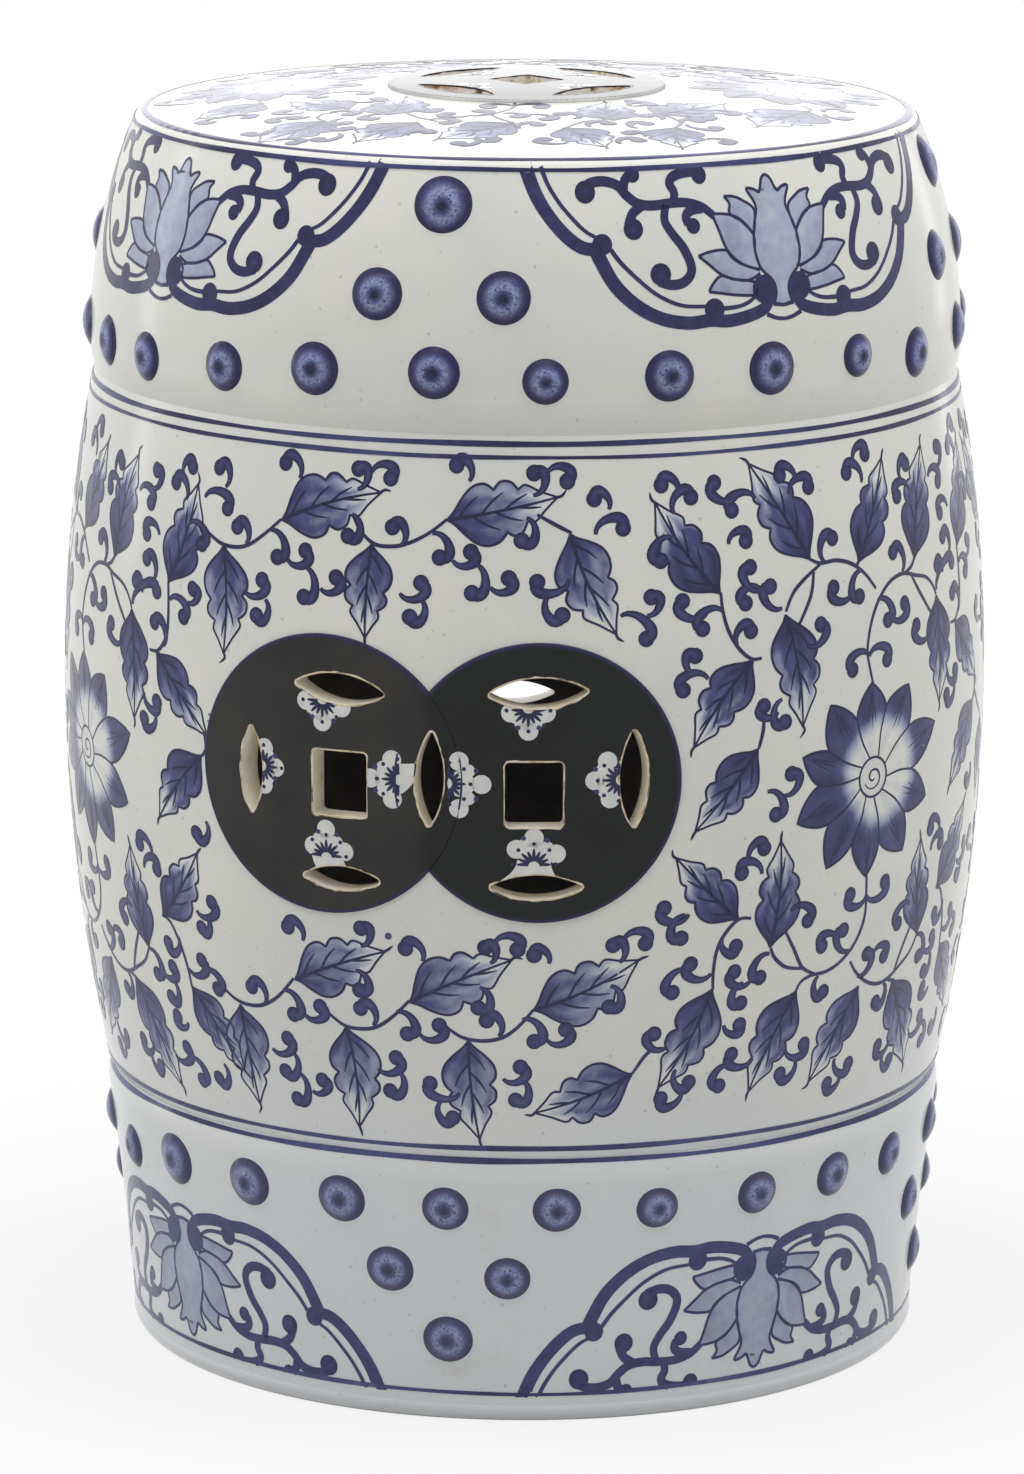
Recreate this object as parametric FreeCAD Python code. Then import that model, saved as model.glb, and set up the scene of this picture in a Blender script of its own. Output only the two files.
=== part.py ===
import FreeCAD, Part
import math
import os

# Ceramic garden stool, drum shaped, open below, with pierced coin medallions.
# Millimetres. +Z is up, the origin is the centre of the circle it stands on,
# and -Y looks out through the front pair of coins.

# Heights of the luted members, from the floor up
FOOT_HEIGHT = 9.0
LOWER_BAND_HEIGHT = 89.6
BELLY_HEIGHT = 256.4
UPPER_BAND_HEIGHT = 92.5
DOME_RISE = 8.9

# Wall thicknesses
WALL = 8.5
FOOT_WIDTH = 14.0
SEAT_THICKNESS = 10.0

# Belly: two arcs that meet upright at the widest ring. Its two ends, and the grooves
# where it meets the bands, lie inside that ring by these amounts.
BELLY_RADIUS = 167.2
BELLY_WIDEST_UP = 143.4
BELLY_TOP_INSET = 11.3
BELLY_FOOT_INSET = 15.1
LOWER_GROOVE_INSET = 16.2
UPPER_GROOVE_INSET = 12.0
GROOVE_EDGE_HEIGHT = 3.0

# Lower band: a slightly hollow flare that turns over into a round shoulder
LOWER_SHOULDER_OVERHANG = 1.3
LOWER_SHOULDER_DROP = 9.0
LOWER_FLARE_WIDTH = 8.7
LOWER_FLARE_HOLLOW = 0.6

# Foot ring
FOOT_TREAD_INSET = 2.2
FOOT_ROUND_HEIGHT = 6.0

# Upper band: a lip over the groove, a long shoulder and a rounded rim
UPPER_LIP_OVERHANG = 1.8
UPPER_LIP_RISE = 11.0
UPPER_SHOULDER_WIDTH = 15.8
RIM_WIDTH = 4.6
RIM_DROP = 4.5
RIM_ROUND_BULGE = 1.1

# The seat slab lies in a rebate of the upper band
SEAT_LEDGE = 8.0
LEDGE_DEPTH = 6.0
LEDGE_SLOPE_HEIGHT = 12.0

# Coin let into the middle of the seat
SEAT_COIN_RADIUS = 49.9
SEAT_COIN_LEDGE = 4.9
SEAT_COIN_EDGE = 5.0
SEAT_COIN_TURN = 10.0
SEAT_SLOT_LENGTH = 40.0
SEAT_SLOT_WIDTH = 11.5
SEAT_SLOT_OFFSET = 34.5
SEAT_SQUARE = 19.5
SEAT_SLOTS = 4

# Pairs of overlapping coins in the front and back of the belly
COIN_RADIUS = 49.3
COIN_HALF_ANGLE = 13.1
COIN_CENTRE_DROP = 6.2
RELIEF = 1.1
RELIEF_ROUND = 0.8

# Openings of a coin pair: bearing from the pair's middle in degrees, height
# above the coin centres, length, width, turn of the long side in degrees
SLOT_TIP_ROUND = 0.9
SQUARE_CORNER = 1.6
LEFT_COIN_SLOTS = [
    (-11.0, 30.8, 34.5, 10.8, -3.0),
    (-10.9, -36.2, 30.0, 8.6, 0.0),
    (-22.8, -1.0, 32.8, 9.3, 90.0),
    (0.2, 1.1, 35.0, 10.2, 88.0),
]
RIGHT_COIN_SLOTS = [
    (13.0, 31.9, 35.5, 11.0, 2.0),
    (12.8, -36.4, 33.6, 9.0, 0.0),
    (24.3, 1.3, 36.0, 10.2, 90.0),
]
SQUARE_WIDTH = 20.2
SQUARE_HEIGHT = 23.2
LEFT_SQUARE = (-10.9, -2.6)
RIGHT_SQUARE = (12.5, -3.6)

# Bosses: low domes of slip, set by hand in two rows. An entry is one boss's shift
# in bearing (degrees), its shift in height as a share of the even width, and its
# width as a factor. The entries run from the stool's left side round the front,
# and the back is set evenly.
BOSS_DIAMETER = 17.2
BOSS_RISE = 2.8
BOSSES_PER_ROW = 24
UPPER_ROW_UP = 18.8
LOWER_ROW_DOWN = 19.0
UPPER_ROW_HAND = [
    (0.4, -0.06, 1.00), (0.8, -0.12, 1.02), (1.0, -0.16, 1.02), (-1.5, -0.20, 0.98),
    (-0.4, -0.08, 0.98), (-1.2, 0.09, 1.04), (-0.2, 0.15, 1.02), (-1.2, 0.01, 0.90),
    (-0.4, 0.06, 1.00), (-1.0, 0.06, 1.04), (-1.3, 0.08, 0.86), (-2.6, -0.13, 1.00),
]
LOWER_ROW_HAND = [
    (0.6, -0.03, 1.00), (1.4, -0.07, 0.96), (2.0, -0.24, 0.94), (1.0, 0.01, 1.12),
    (1.4, 0.01, 1.04), (1.4, 0.01, 1.02), (1.0, -0.01, 0.94), (0.9, 0.00, 0.96),
    (-0.4, -0.06, 0.88), (-0.4, -0.01, 0.92), (-1.6, 0.01, 0.96), (-2.7, -0.02, 0.94),
]
EVEN = (0.0, 0.0, 1.00)
# Trios between the lappets: bearing, height above the row as a share of the band's
# height, width as a factor
UPPER_TRIO = [(-8.0, 0.307, 1.02), (8.5, 0.307, 1.04), (0.1, 0.636, 1.12)]
LOWER_TRIO = [(-7.0, -0.272, 0.98), (9.3, -0.288, 0.92), (1.0, -0.551, 1.00)]
TRIOS = 4

# Radii of the outer side, from the widest ring down to the foot and up to the seat
BELLY_TOP_RADIUS = BELLY_RADIUS - BELLY_TOP_INSET
BELLY_FOOT_RADIUS = BELLY_RADIUS - BELLY_FOOT_INSET
LOWER_GROOVE_RADIUS = BELLY_RADIUS - LOWER_GROOVE_INSET
UPPER_GROOVE_RADIUS = BELLY_RADIUS - UPPER_GROOVE_INSET
LOWER_SHOULDER_RADIUS = LOWER_GROOVE_RADIUS + LOWER_SHOULDER_OVERHANG
FOOT_RADIUS = LOWER_SHOULDER_RADIUS - LOWER_FLARE_WIDTH
FOOT_TREAD_RADIUS = FOOT_RADIUS - FOOT_TREAD_INSET
UPPER_LIP_RADIUS = UPPER_GROOVE_RADIUS + UPPER_LIP_OVERHANG
RIM_RADIUS = UPPER_LIP_RADIUS - UPPER_SHOULDER_WIDTH
SEAT_RADIUS = RIM_RADIUS - RIM_WIDTH

# Heights where the members meet
BAND_FOOT_Z = FOOT_HEIGHT
LOWER_GROOVE_Z = BAND_FOOT_Z + LOWER_BAND_HEIGHT
BELLY_WIDEST_Z = LOWER_GROOVE_Z + BELLY_WIDEST_UP
COIN_CENTRE_Z = BELLY_WIDEST_Z - COIN_CENTRE_DROP
UPPER_GROOVE_Z = LOWER_GROOVE_Z + BELLY_HEIGHT
RIM_Z = UPPER_GROOVE_Z + UPPER_BAND_HEIGHT
SEAT_TOP_Z = RIM_Z + DOME_RISE
SEAT_DOME_RADIUS = (SEAT_RADIUS ** 2 + DOME_RISE ** 2) / (2 * DOME_RISE)
LEDGE_Z = RIM_Z - SEAT_THICKNESS
FAR = 2 * BELLY_RADIUS


def point(radius, z):
    """A point of a profile, which lies in the XZ plane."""
    return FreeCAD.Vector(radius, 0, z)


def line(a, b):
    return Part.makeLine(a, b)


def bulged(a, b, bulge):
    """An arc from a to b that stands out by bulge to the outer side of the chord."""
    chord = b - a
    outward = FreeCAD.Vector(chord.z, 0, -chord.x)
    if outward.x < 0:
        outward = -outward
    outward.normalize()
    middle = (a + b) * 0.5 + outward * bulge
    return Part.Arc(a, middle, b).toShape()


def arc_about(centre, radius, z_from, z_to):
    """An arc of a circle about a centre on the profile, on the side away from the axis."""
    def at(z):
        return point(centre.x + math.sqrt(radius ** 2 - (z - centre.z) ** 2), z)
    return Part.Arc(at(z_from), at((z_from + z_to) / 2), at(z_to)).toShape()


def end_points(edge):
    return edge.Vertexes[0].Point, edge.Vertexes[-1].Point


def revolved(edges):
    """The solid of revolution of a closed profile."""
    face = Part.Face(Part.Wire(Part.__sortEdges__(edges)))
    solid = face.revolve(FreeCAD.Vector(0, 0, 0), FreeCAD.Vector(0, 0, 1), 360)
    return solid if solid.ShapeType == "Solid" else solid.Solids[0]


def turned(shape, degrees):
    """A copy of a shape, turned about the stool's axis."""
    copy = shape.copy()
    copy.rotate(FreeCAD.Vector(0, 0, 0), FreeCAD.Vector(0, 0, 1), degrees)
    return copy


def belly_arcs(offset, z_low, z_high):
    """The belly's two arcs, moved outwards by offset, between two heights."""
    edges = []
    if z_low < BELLY_WIDEST_Z:
        radius = belly_arc_radius(BELLY_FOOT_RADIUS, BELLY_WIDEST_UP)
        centre = point(BELLY_RADIUS - radius, BELLY_WIDEST_Z)
        edges.append(arc_about(centre, radius + offset, z_low, min(z_high, BELLY_WIDEST_Z)))
    if z_high > BELLY_WIDEST_Z:
        radius = belly_arc_radius(BELLY_TOP_RADIUS, BELLY_HEIGHT - BELLY_WIDEST_UP)
        centre = point(BELLY_RADIUS - radius, BELLY_WIDEST_Z)
        edges.append(arc_about(centre, radius + offset, max(z_low, BELLY_WIDEST_Z), z_high))
    return edges


def belly_arc_radius(end_radius, height):
    """The radius of an arc that is upright at the widest ring and reaches end_radius."""
    drop = BELLY_RADIUS - end_radius
    return (height ** 2 + drop ** 2) / (2 * drop)


def belly_profile(offset, z_low, z_high):
    """A closed profile of the belly wall, its outer side moved outwards by offset."""
    outer = belly_arcs(offset, z_low, z_high)
    inner = belly_arcs(-WALL, z_low, z_high)
    outer_low, outer_high = end_points(outer[0])[0], end_points(outer[-1])[1]
    inner_low, inner_high = end_points(inner[0])[0], end_points(inner[-1])[1]
    return outer + inner + [line(inner_low, outer_low), line(inner_high, outer_high)]


def make_belly():
    """The belly, thrown as one wall, with its two edges rounded down to the grooves."""
    lower_edge_z = LOWER_GROOVE_Z + GROOVE_EDGE_HEIGHT
    upper_edge_z = UPPER_GROOVE_Z - GROOVE_EDGE_HEIGHT
    outer = belly_arcs(0, lower_edge_z, upper_edge_z)
    inner = belly_arcs(-WALL, LOWER_GROOVE_Z, UPPER_GROOVE_Z)
    outer_low, outer_high = end_points(outer[0])[0], end_points(outer[-1])[1]
    inner_low, inner_high = end_points(inner[0])[0], end_points(inner[-1])[1]
    lower_groove = point(LOWER_GROOVE_RADIUS, LOWER_GROOVE_Z)
    upper_groove = point(UPPER_GROOVE_RADIUS, UPPER_GROOVE_Z)
    wall = revolved(outer + inner + [
        line(outer_low, lower_groove), line(lower_groove, inner_low),
        line(outer_high, upper_groove), line(upper_groove, inner_high),
    ])
    pair = coin_core(-COIN_HALF_ANGLE).fuse(coin_core(COIN_HALF_ANGLE))
    return wall.cut([pair, turned(pair, 180)])


def coin_core(bearing):
    """The round plug of space that a coin fills in the wall, square to its bearing."""
    core = Part.makeCylinder(
        COIN_RADIUS, FAR, FreeCAD.Vector(0, 0, COIN_CENTRE_Z), FreeCAD.Vector(0, -1, 0))
    return turned(core, bearing)


def slot_cutter(length, width):
    """A standing prism, pointed at both ends, about the Z axis with its length on X."""
    left = FreeCAD.Vector(-length / 2, 0, 0)
    right = FreeCAD.Vector(length / 2, 0, 0)
    upper = Part.Arc(left, FreeCAD.Vector(0, width / 2, 0), right).toShape()
    lower = Part.Arc(right, FreeCAD.Vector(0, -width / 2, 0), left).toShape()
    prism = Part.Face(Part.Wire([upper, lower])).extrude(FreeCAD.Vector(0, 0, FAR))
    tips = [e for e in prism.Edges if upright(e)]
    return prism.makeFillet(SLOT_TIP_ROUND, tips)


def square_cutter(width, height):
    """A standing prism with rounded corners about the Z axis."""
    prism = Part.makeBox(width, height, FAR, FreeCAD.Vector(-width / 2, -height / 2, 0))
    corners = [e for e in prism.Edges if upright(e)]
    return prism.makeFillet(SQUARE_CORNER, corners)


def upright(edge):
    low, high = end_points(edge)
    return abs(low.x - high.x) + abs(low.y - high.y) < 0.001 and edge.Length > FAR / 2


def through_wall(cutter, bearing, up, turn):
    """Lay a standing cutter on its side so that it runs outwards through the belly wall."""
    cutter.rotate(FreeCAD.Vector(0, 0, 0), FreeCAD.Vector(0, 0, 1), turn)
    cutter.rotate(FreeCAD.Vector(0, 0, 0), FreeCAD.Vector(1, 0, 0), 90)
    cutter.translate(FreeCAD.Vector(0, 0, COIN_CENTRE_Z + up))
    return turned(cutter, bearing)


def wall_cutters(slots, square):
    cutters = [
        through_wall(slot_cutter(length, width), bearing, up, turn)
        for bearing, up, length, width, turn in slots
    ]
    bearing, up = square
    cutters.append(through_wall(square_cutter(SQUARE_WIDTH, SQUARE_HEIGHT), bearing, up, 0))
    return cutters


def make_coins():
    """The front pair of coins: the left one lies over the edge of the right one."""
    reach = COIN_RADIUS + RELIEF
    shell = revolved(belly_profile(RELIEF, COIN_CENTRE_Z - reach, COIN_CENTRE_Z + reach))
    left_core = coin_core(-COIN_HALF_ANGLE)
    left = rounded_rim(shell.common(left_core), -COIN_HALF_ANGLE)
    right = rounded_rim(shell.common(coin_core(COIN_HALF_ANGLE)), COIN_HALF_ANGLE).cut(left_core)
    left = left.cut(wall_cutters(LEFT_COIN_SLOTS, LEFT_SQUARE))
    right = right.cut(wall_cutters(RIGHT_COIN_SLOTS, RIGHT_SQUARE))
    return left, right


def rounded_rim(coin, bearing):
    """Round off the outer rim of a whole coin."""
    plug = coin.Solids[0]
    angle = math.radians(bearing)
    outward = FreeCAD.Vector(math.sin(angle), -math.cos(angle), 0)
    places = []
    for edge in plug.Edges:
        middle = edge.valueAt((edge.FirstParameter + edge.LastParameter) / 2)
        spoke = middle - FreeCAD.Vector(0, 0, COIN_CENTRE_Z)
        reach = spoke.dot(outward)
        off_axis = (spoke - outward * reach).Length
        places.append((edge, reach, off_axis))
    halfway = BELLY_RADIUS * math.cos(math.asin(COIN_RADIUS / BELLY_RADIUS)) - WALL / 2
    rim = [
        edge for edge, reach, off_axis in places
        if reach > halfway and abs(off_axis - COIN_RADIUS) < 0.01 and not straight(edge)
    ]
    return plug.makeFillet(RELIEF_ROUND, rim)


def straight(edge):
    low, high = end_points(edge)
    return abs((high - low).Length - edge.Length) < 0.001


def lower_band_outline():
    """The outer side of the lower band, from the foot to the groove."""
    foot = point(FOOT_RADIUS, BAND_FOOT_Z)
    shoulder = point(LOWER_SHOULDER_RADIUS, LOWER_GROOVE_Z - LOWER_SHOULDER_DROP)
    groove = point(LOWER_GROOVE_RADIUS, LOWER_GROOVE_Z)
    shoulder_bulge = (LOWER_SHOULDER_RADIUS - LOWER_GROOVE_RADIUS) / 2
    return [
        bulged(foot, shoulder, -LOWER_FLARE_HOLLOW),
        bulged(shoulder, groove, shoulder_bulge),
    ]


def make_lower_band():
    """The flared band under the belly, with a round shoulder up to the groove."""
    outer = lower_band_outline()
    foot, groove = end_points(outer[0])[0], end_points(outer[-1])[1]
    groove_in = end_points(belly_arcs(-WALL, LOWER_GROOVE_Z, UPPER_GROOVE_Z)[0])[0]
    shoulder_in = point(LOWER_SHOULDER_RADIUS - WALL, LOWER_GROOVE_Z - LOWER_SHOULDER_DROP)
    foot_in = point(FOOT_RADIUS - WALL, BAND_FOOT_Z)
    return revolved(outer + [
        line(groove, groove_in), line(groove_in, shoulder_in),
        bulged(shoulder_in, foot_in, -LOWER_FLARE_HOLLOW), line(foot_in, foot),
    ])


def make_foot_ring():
    """The foot, wider than the wall above it, rounded where it meets the floor."""
    top = point(FOOT_RADIUS, FOOT_HEIGHT)
    side = point(FOOT_RADIUS, FOOT_ROUND_HEIGHT)
    tread = point(FOOT_TREAD_RADIUS, 0)
    tread_in = point(FOOT_RADIUS - FOOT_WIDTH, 0)
    top_in = point(FOOT_RADIUS - FOOT_WIDTH, FOOT_HEIGHT)
    side_round = (FOOT_RADIUS - FOOT_TREAD_RADIUS) / 2
    return revolved([
        line(top, side), bulged(side, tread, side_round),
        line(tread, tread_in), line(tread_in, top_in), line(top_in, top),
    ])


def upper_band_outline():
    """The outer side of the upper band, from the groove to the seat's edge."""
    groove = point(UPPER_GROOVE_RADIUS, UPPER_GROOVE_Z)
    lip = point(UPPER_LIP_RADIUS, UPPER_GROOVE_Z + UPPER_LIP_RISE)
    rim = point(RIM_RADIUS, RIM_Z - RIM_DROP)
    seat_edge = point(SEAT_RADIUS, RIM_Z)
    lip_bulge = (UPPER_LIP_RADIUS - UPPER_GROOVE_RADIUS) / 4
    return [
        bulged(groove, lip, lip_bulge),
        bulged(lip, rim, upper_shoulder_bulge(lip, rim)),
        bulged(rim, seat_edge, RIM_ROUND_BULGE),
    ]


def upper_shoulder_bulge(lip, rim):
    """How far the long shoulder stands out, so that it starts upright at the lip."""
    rise, fall = rim.z - lip.z, lip.x - rim.x
    radius = (rise ** 2 + fall ** 2) / (2 * fall)
    half_chord = math.hypot(rise, fall) / 2
    return radius - math.sqrt(radius ** 2 - half_chord ** 2)


def make_upper_band():
    """The upper band, with the rebate inside its rim that carries the seat slab."""
    outer = upper_band_outline()
    groove, seat_edge = end_points(outer[0])[0], end_points(outer[-1])[1]
    groove_in = end_points(belly_arcs(-WALL, LOWER_GROOVE_Z, UPPER_GROOVE_Z)[-1])[1]
    rebate = point(SEAT_RADIUS, LEDGE_Z)
    ledge = point(SEAT_RADIUS - SEAT_LEDGE, LEDGE_Z)
    ledge_foot = point(SEAT_RADIUS - SEAT_LEDGE, LEDGE_Z - LEDGE_DEPTH)
    lip_in = point(UPPER_LIP_RADIUS - WALL, UPPER_GROOVE_Z + UPPER_LIP_RISE)
    slope_z = ledge_foot.z - LEDGE_SLOPE_HEIGHT
    shoulder = outer[1].Curve
    slope_x = shoulder.Center.x + math.sqrt(shoulder.Radius ** 2 - (slope_z - shoulder.Center.z) ** 2)
    slope = point(slope_x - WALL, slope_z)
    inner_bulge = upper_shoulder_bulge(lip_in, slope)
    return revolved(outer + [
        line(seat_edge, rebate), line(rebate, ledge), line(ledge, ledge_foot),
        line(ledge_foot, slope), bulged(slope, lip_in, inner_bulge),
        line(lip_in, groove_in), line(groove_in, groove),
    ])


def dome_z(radius, rise=0.0):
    """The height of the seat's dome at a radius, or of a dome that much above it."""
    centre_z = SEAT_TOP_Z - SEAT_DOME_RADIUS
    return centre_z + math.sqrt((SEAT_DOME_RADIUS + rise) ** 2 - radius ** 2)


def dome_arc(radius_from, radius_to, rise=0.0):
    middle = (radius_from + radius_to) / 2
    ends = [point(r, dome_z(r, rise)) for r in (radius_from, middle, radius_to)]
    return Part.Arc(*ends).toShape()


def make_seat_slab():
    """The domed seat, a ring that carries the pierced coin on a step round its hole."""
    step_radius = SEAT_COIN_RADIUS - SEAT_COIN_LEDGE
    ledge_radius = SEAT_RADIUS - SEAT_LEDGE
    top = dome_arc(SEAT_COIN_RADIUS, SEAT_RADIUS)
    under = dome_arc(step_radius, ledge_radius, -SEAT_THICKNESS)
    top_in, top_out = end_points(top)
    under_in, under_out = end_points(under)
    edge_foot = point(SEAT_RADIUS, LEDGE_Z)
    ledge_foot = point(ledge_radius, LEDGE_Z)
    step_z = coin_step_z()
    return revolved([
        top, line(top_out, edge_foot), line(edge_foot, ledge_foot), line(ledge_foot, under_out),
        under, line(under_in, point(step_radius, step_z)),
        line(point(step_radius, step_z), point(SEAT_COIN_RADIUS, step_z)),
        line(point(SEAT_COIN_RADIUS, step_z), top_in),
    ])


def coin_step_z():
    return dome_z(SEAT_COIN_RADIUS) - SEAT_COIN_EDGE


def make_seat_coin():
    """The coin in the seat: a stepped plug with a square and four pointed slots."""
    step_radius = SEAT_COIN_RADIUS - SEAT_COIN_LEDGE
    top = dome_arc(0, SEAT_COIN_RADIUS, RELIEF)
    top_mid, top_out = end_points(top)
    bottom_z = dome_z(step_radius, -SEAT_THICKNESS)
    step_z = coin_step_z()
    coin = revolved([
        top,
        line(top_out, point(SEAT_COIN_RADIUS, step_z)),
        line(point(SEAT_COIN_RADIUS, step_z), point(step_radius, step_z)),
        line(point(step_radius, step_z), point(step_radius, bottom_z)),
        line(point(step_radius, bottom_z), point(0, bottom_z)),
        line(point(0, bottom_z), top_mid),
    ])
    rim = [e for e in coin.Edges if abs(e.BoundBox.ZMax - top_out.z) < 0.001 and e.BoundBox.ZLength < 0.001]
    coin = coin.makeFillet(RELIEF_ROUND, rim)
    slot = slot_cutter(SEAT_SLOT_LENGTH, SEAT_SLOT_WIDTH)
    slot.translate(FreeCAD.Vector(0, -SEAT_SLOT_OFFSET, 0))
    slot.translate(FreeCAD.Vector(0, 0, SEAT_TOP_Z - FAR / 2))
    square = square_cutter(SEAT_SQUARE, SEAT_SQUARE)
    square.translate(FreeCAD.Vector(0, 0, SEAT_TOP_Z - FAR / 2))
    step = 360 / SEAT_SLOTS
    bearings = [SEAT_COIN_TURN + step * (n + 0.5) for n in range(SEAT_SLOTS)]
    return coin.cut([turned(slot, b) for b in bearings] + [turned(square, bearings[0])])


def solid_under(outline):
    """Everything inside an outline, from the axis out, between the outline's two ends."""
    low, high = end_points(outline[0])[0], end_points(outline[-1])[1]
    axis_low, axis_high = point(0, low.z), point(0, high.z)
    return revolved(outline + [line(low, axis_low), line(axis_low, axis_high), line(axis_high, high)])


def outline_at(outline, z):
    """The radius of an outline at a height, and how far its outward normal leans up."""
    plane = Part.makeLine(point(0, z), point(FAR, z))
    for edge in outline:
        distance, pairs, _ = edge.distToShape(plane)
        if distance < 0.001:
            spot = pairs[0][0]
            tangent = edge.tangentAt(edge.Curve.parameter(spot))
            if tangent.z < 0:
                tangent = -tangent
            return spot.x, math.degrees(math.atan2(-tangent.x, tangent.z))
    raise ValueError("no wall at that height")


def boss(outline, core, bearing, z, width):
    """A low dome whose back lies on the wall of a band."""
    radius, lean = outline_at(outline, z)
    ball = ((width / 2) ** 2 + BOSS_RISE ** 2) / (2 * BOSS_RISE)
    inward = ball - BOSS_RISE
    centre = FreeCAD.Vector(
        0, -(radius - inward * math.cos(math.radians(lean))), z - inward * math.sin(math.radians(lean)))
    blob = Part.makeSphere(ball, centre, FreeCAD.Vector(0, -1, 0)).cut(core)
    return turned(max(blob.Solids, key=lambda s: -s.BoundBox.YMin), bearing)


def boss_row(outline, core, z, hand):
    """A full row of bosses, spaced evenly but for each one's own hand-set shift."""
    bosses = []
    for number in range(BOSSES_PER_ROW):
        shift, up, factor = hand[number] if number < len(hand) else EVEN
        bearing = number * 360 / BOSSES_PER_ROW - 90 + shift
        spot_z = z + up * BOSS_DIAMETER
        bosses.append(boss(outline, core, bearing, spot_z, BOSS_DIAMETER * factor))
    return Part.makeCompound(bosses)


def boss_trios(outline, core, z, band_height, trio):
    """The groups of three bosses between the lappets, a quarter turn apart."""
    bosses = []
    for bearing, up, factor in trio:
        spot_z = z + up * band_height
        one = boss(outline, core, bearing, spot_z, BOSS_DIAMETER * factor)
        bosses += [turned(one, number * 360 / TRIOS) for number in range(TRIOS)]
    return Part.makeCompound(bosses)


def main():
    os.makedirs("parts", exist_ok=True)
    left_coin, right_coin = make_coins()
    upper_outline = upper_band_outline()
    lower_outline = lower_band_outline()
    upper_core = solid_under(upper_outline)
    lower_core = solid_under(lower_outline)
    upper_row_z = UPPER_GROOVE_Z + UPPER_ROW_UP
    lower_row_z = LOWER_GROOVE_Z - LOWER_ROW_DOWN
    nodes = {
        "foot_ring": make_foot_ring(),
        "lower_band": make_lower_band(),
        "belly_wall": make_belly(),
        "upper_band": make_upper_band(),
        "seat_slab": make_seat_slab(),
        "seat_coin": make_seat_coin(),
        "front_coin_left": left_coin,
        "front_coin_right": right_coin,
        "back_coin_left": turned(left_coin, 180),
        "back_coin_right": turned(right_coin, 180),
        "upper_boss_row": boss_row(upper_outline, upper_core, upper_row_z, UPPER_ROW_HAND),
        "upper_boss_trios": boss_trios(
            upper_outline, upper_core, upper_row_z, UPPER_BAND_HEIGHT, UPPER_TRIO),
        "lower_boss_row": boss_row(lower_outline, lower_core, lower_row_z, LOWER_ROW_HAND),
        "lower_boss_trios": boss_trios(
            lower_outline, lower_core, lower_row_z, LOWER_BAND_HEIGHT, LOWER_TRIO),
    }
    for name, shape in nodes.items():
        shape.exportStep("parts/" + name + ".step")
        print(name, len(shape.Solids), "solids", round(shape.Volume / 1000, 2), "cm3", shape.isValid())


main()
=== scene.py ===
import math

import bpy
from mathutils import Matrix, Vector
from mathutils.bvhtree import BVHTree


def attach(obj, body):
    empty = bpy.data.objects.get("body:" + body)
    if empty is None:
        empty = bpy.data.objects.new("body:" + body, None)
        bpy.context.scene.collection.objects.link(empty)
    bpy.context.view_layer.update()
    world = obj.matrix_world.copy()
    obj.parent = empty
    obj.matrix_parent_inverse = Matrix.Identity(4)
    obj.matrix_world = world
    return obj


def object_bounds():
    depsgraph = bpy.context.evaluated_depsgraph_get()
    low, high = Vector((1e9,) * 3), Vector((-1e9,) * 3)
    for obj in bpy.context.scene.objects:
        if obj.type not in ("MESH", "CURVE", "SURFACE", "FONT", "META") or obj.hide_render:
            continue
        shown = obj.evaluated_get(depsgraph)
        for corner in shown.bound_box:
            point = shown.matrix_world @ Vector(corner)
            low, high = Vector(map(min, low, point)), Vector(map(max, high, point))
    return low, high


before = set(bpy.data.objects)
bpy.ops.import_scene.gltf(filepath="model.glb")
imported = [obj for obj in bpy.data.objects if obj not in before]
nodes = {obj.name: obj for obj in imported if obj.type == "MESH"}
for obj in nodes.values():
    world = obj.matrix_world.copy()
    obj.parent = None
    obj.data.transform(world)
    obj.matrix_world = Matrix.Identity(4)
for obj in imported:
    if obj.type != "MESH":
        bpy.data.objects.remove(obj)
cad_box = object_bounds()

MM = 0.001
MICRONS = 1e6

# The stool: where the coins lie. Bearings are degrees round it, from the front towards the right
COIN_HALF_ANGLE = 13.1
COIN_HEIGHT = 235.8 * MM
COIN_RADIUS = 49.3 * MM
SEAT_COIN_RADIUS = 49.9 * MM
SEAT_COIN_TURN = 10.0

# The drawing of the decoration, in its own millimetres, a little smaller than the stool
DRAWING_SCALE = 1.0169
BELLY_MM_PER_DEGREE = 2.84
BAND_MM_PER_DEGREE = 2.635
LINE = 0.92
STEM_WIDTH = 1.4
CURL_OUTLINE = 0.42

# How far the layers of paint stand off the glaze, and what crossing shapes of one layer differ by
WASH_LIFT = 0.06 * MM
INK_LIFT = 0.09 * MM
CURL_LIFT = 0.12 * MM
RING_LIFT = 0.14 * MM
SHAPE_STEP = 0.004 * MM
SHAPE_STEPS = 5

# Camera: the bearing, distance and height that it stands at, and how it is turned, in radians
CAMERA_BEARING = 11.3
CAMERA_DISTANCE = 2637.6 * MM
CAMERA_HEIGHT = 792.9 * MM
CAMERA_PITCH = 0.215347
CAMERA_ROLL = 0.0034448
CAMERA_YAW = -0.0016752
CAMERA_LENS = 180.4
SENSOR_WIDTH = 36.0

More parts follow.
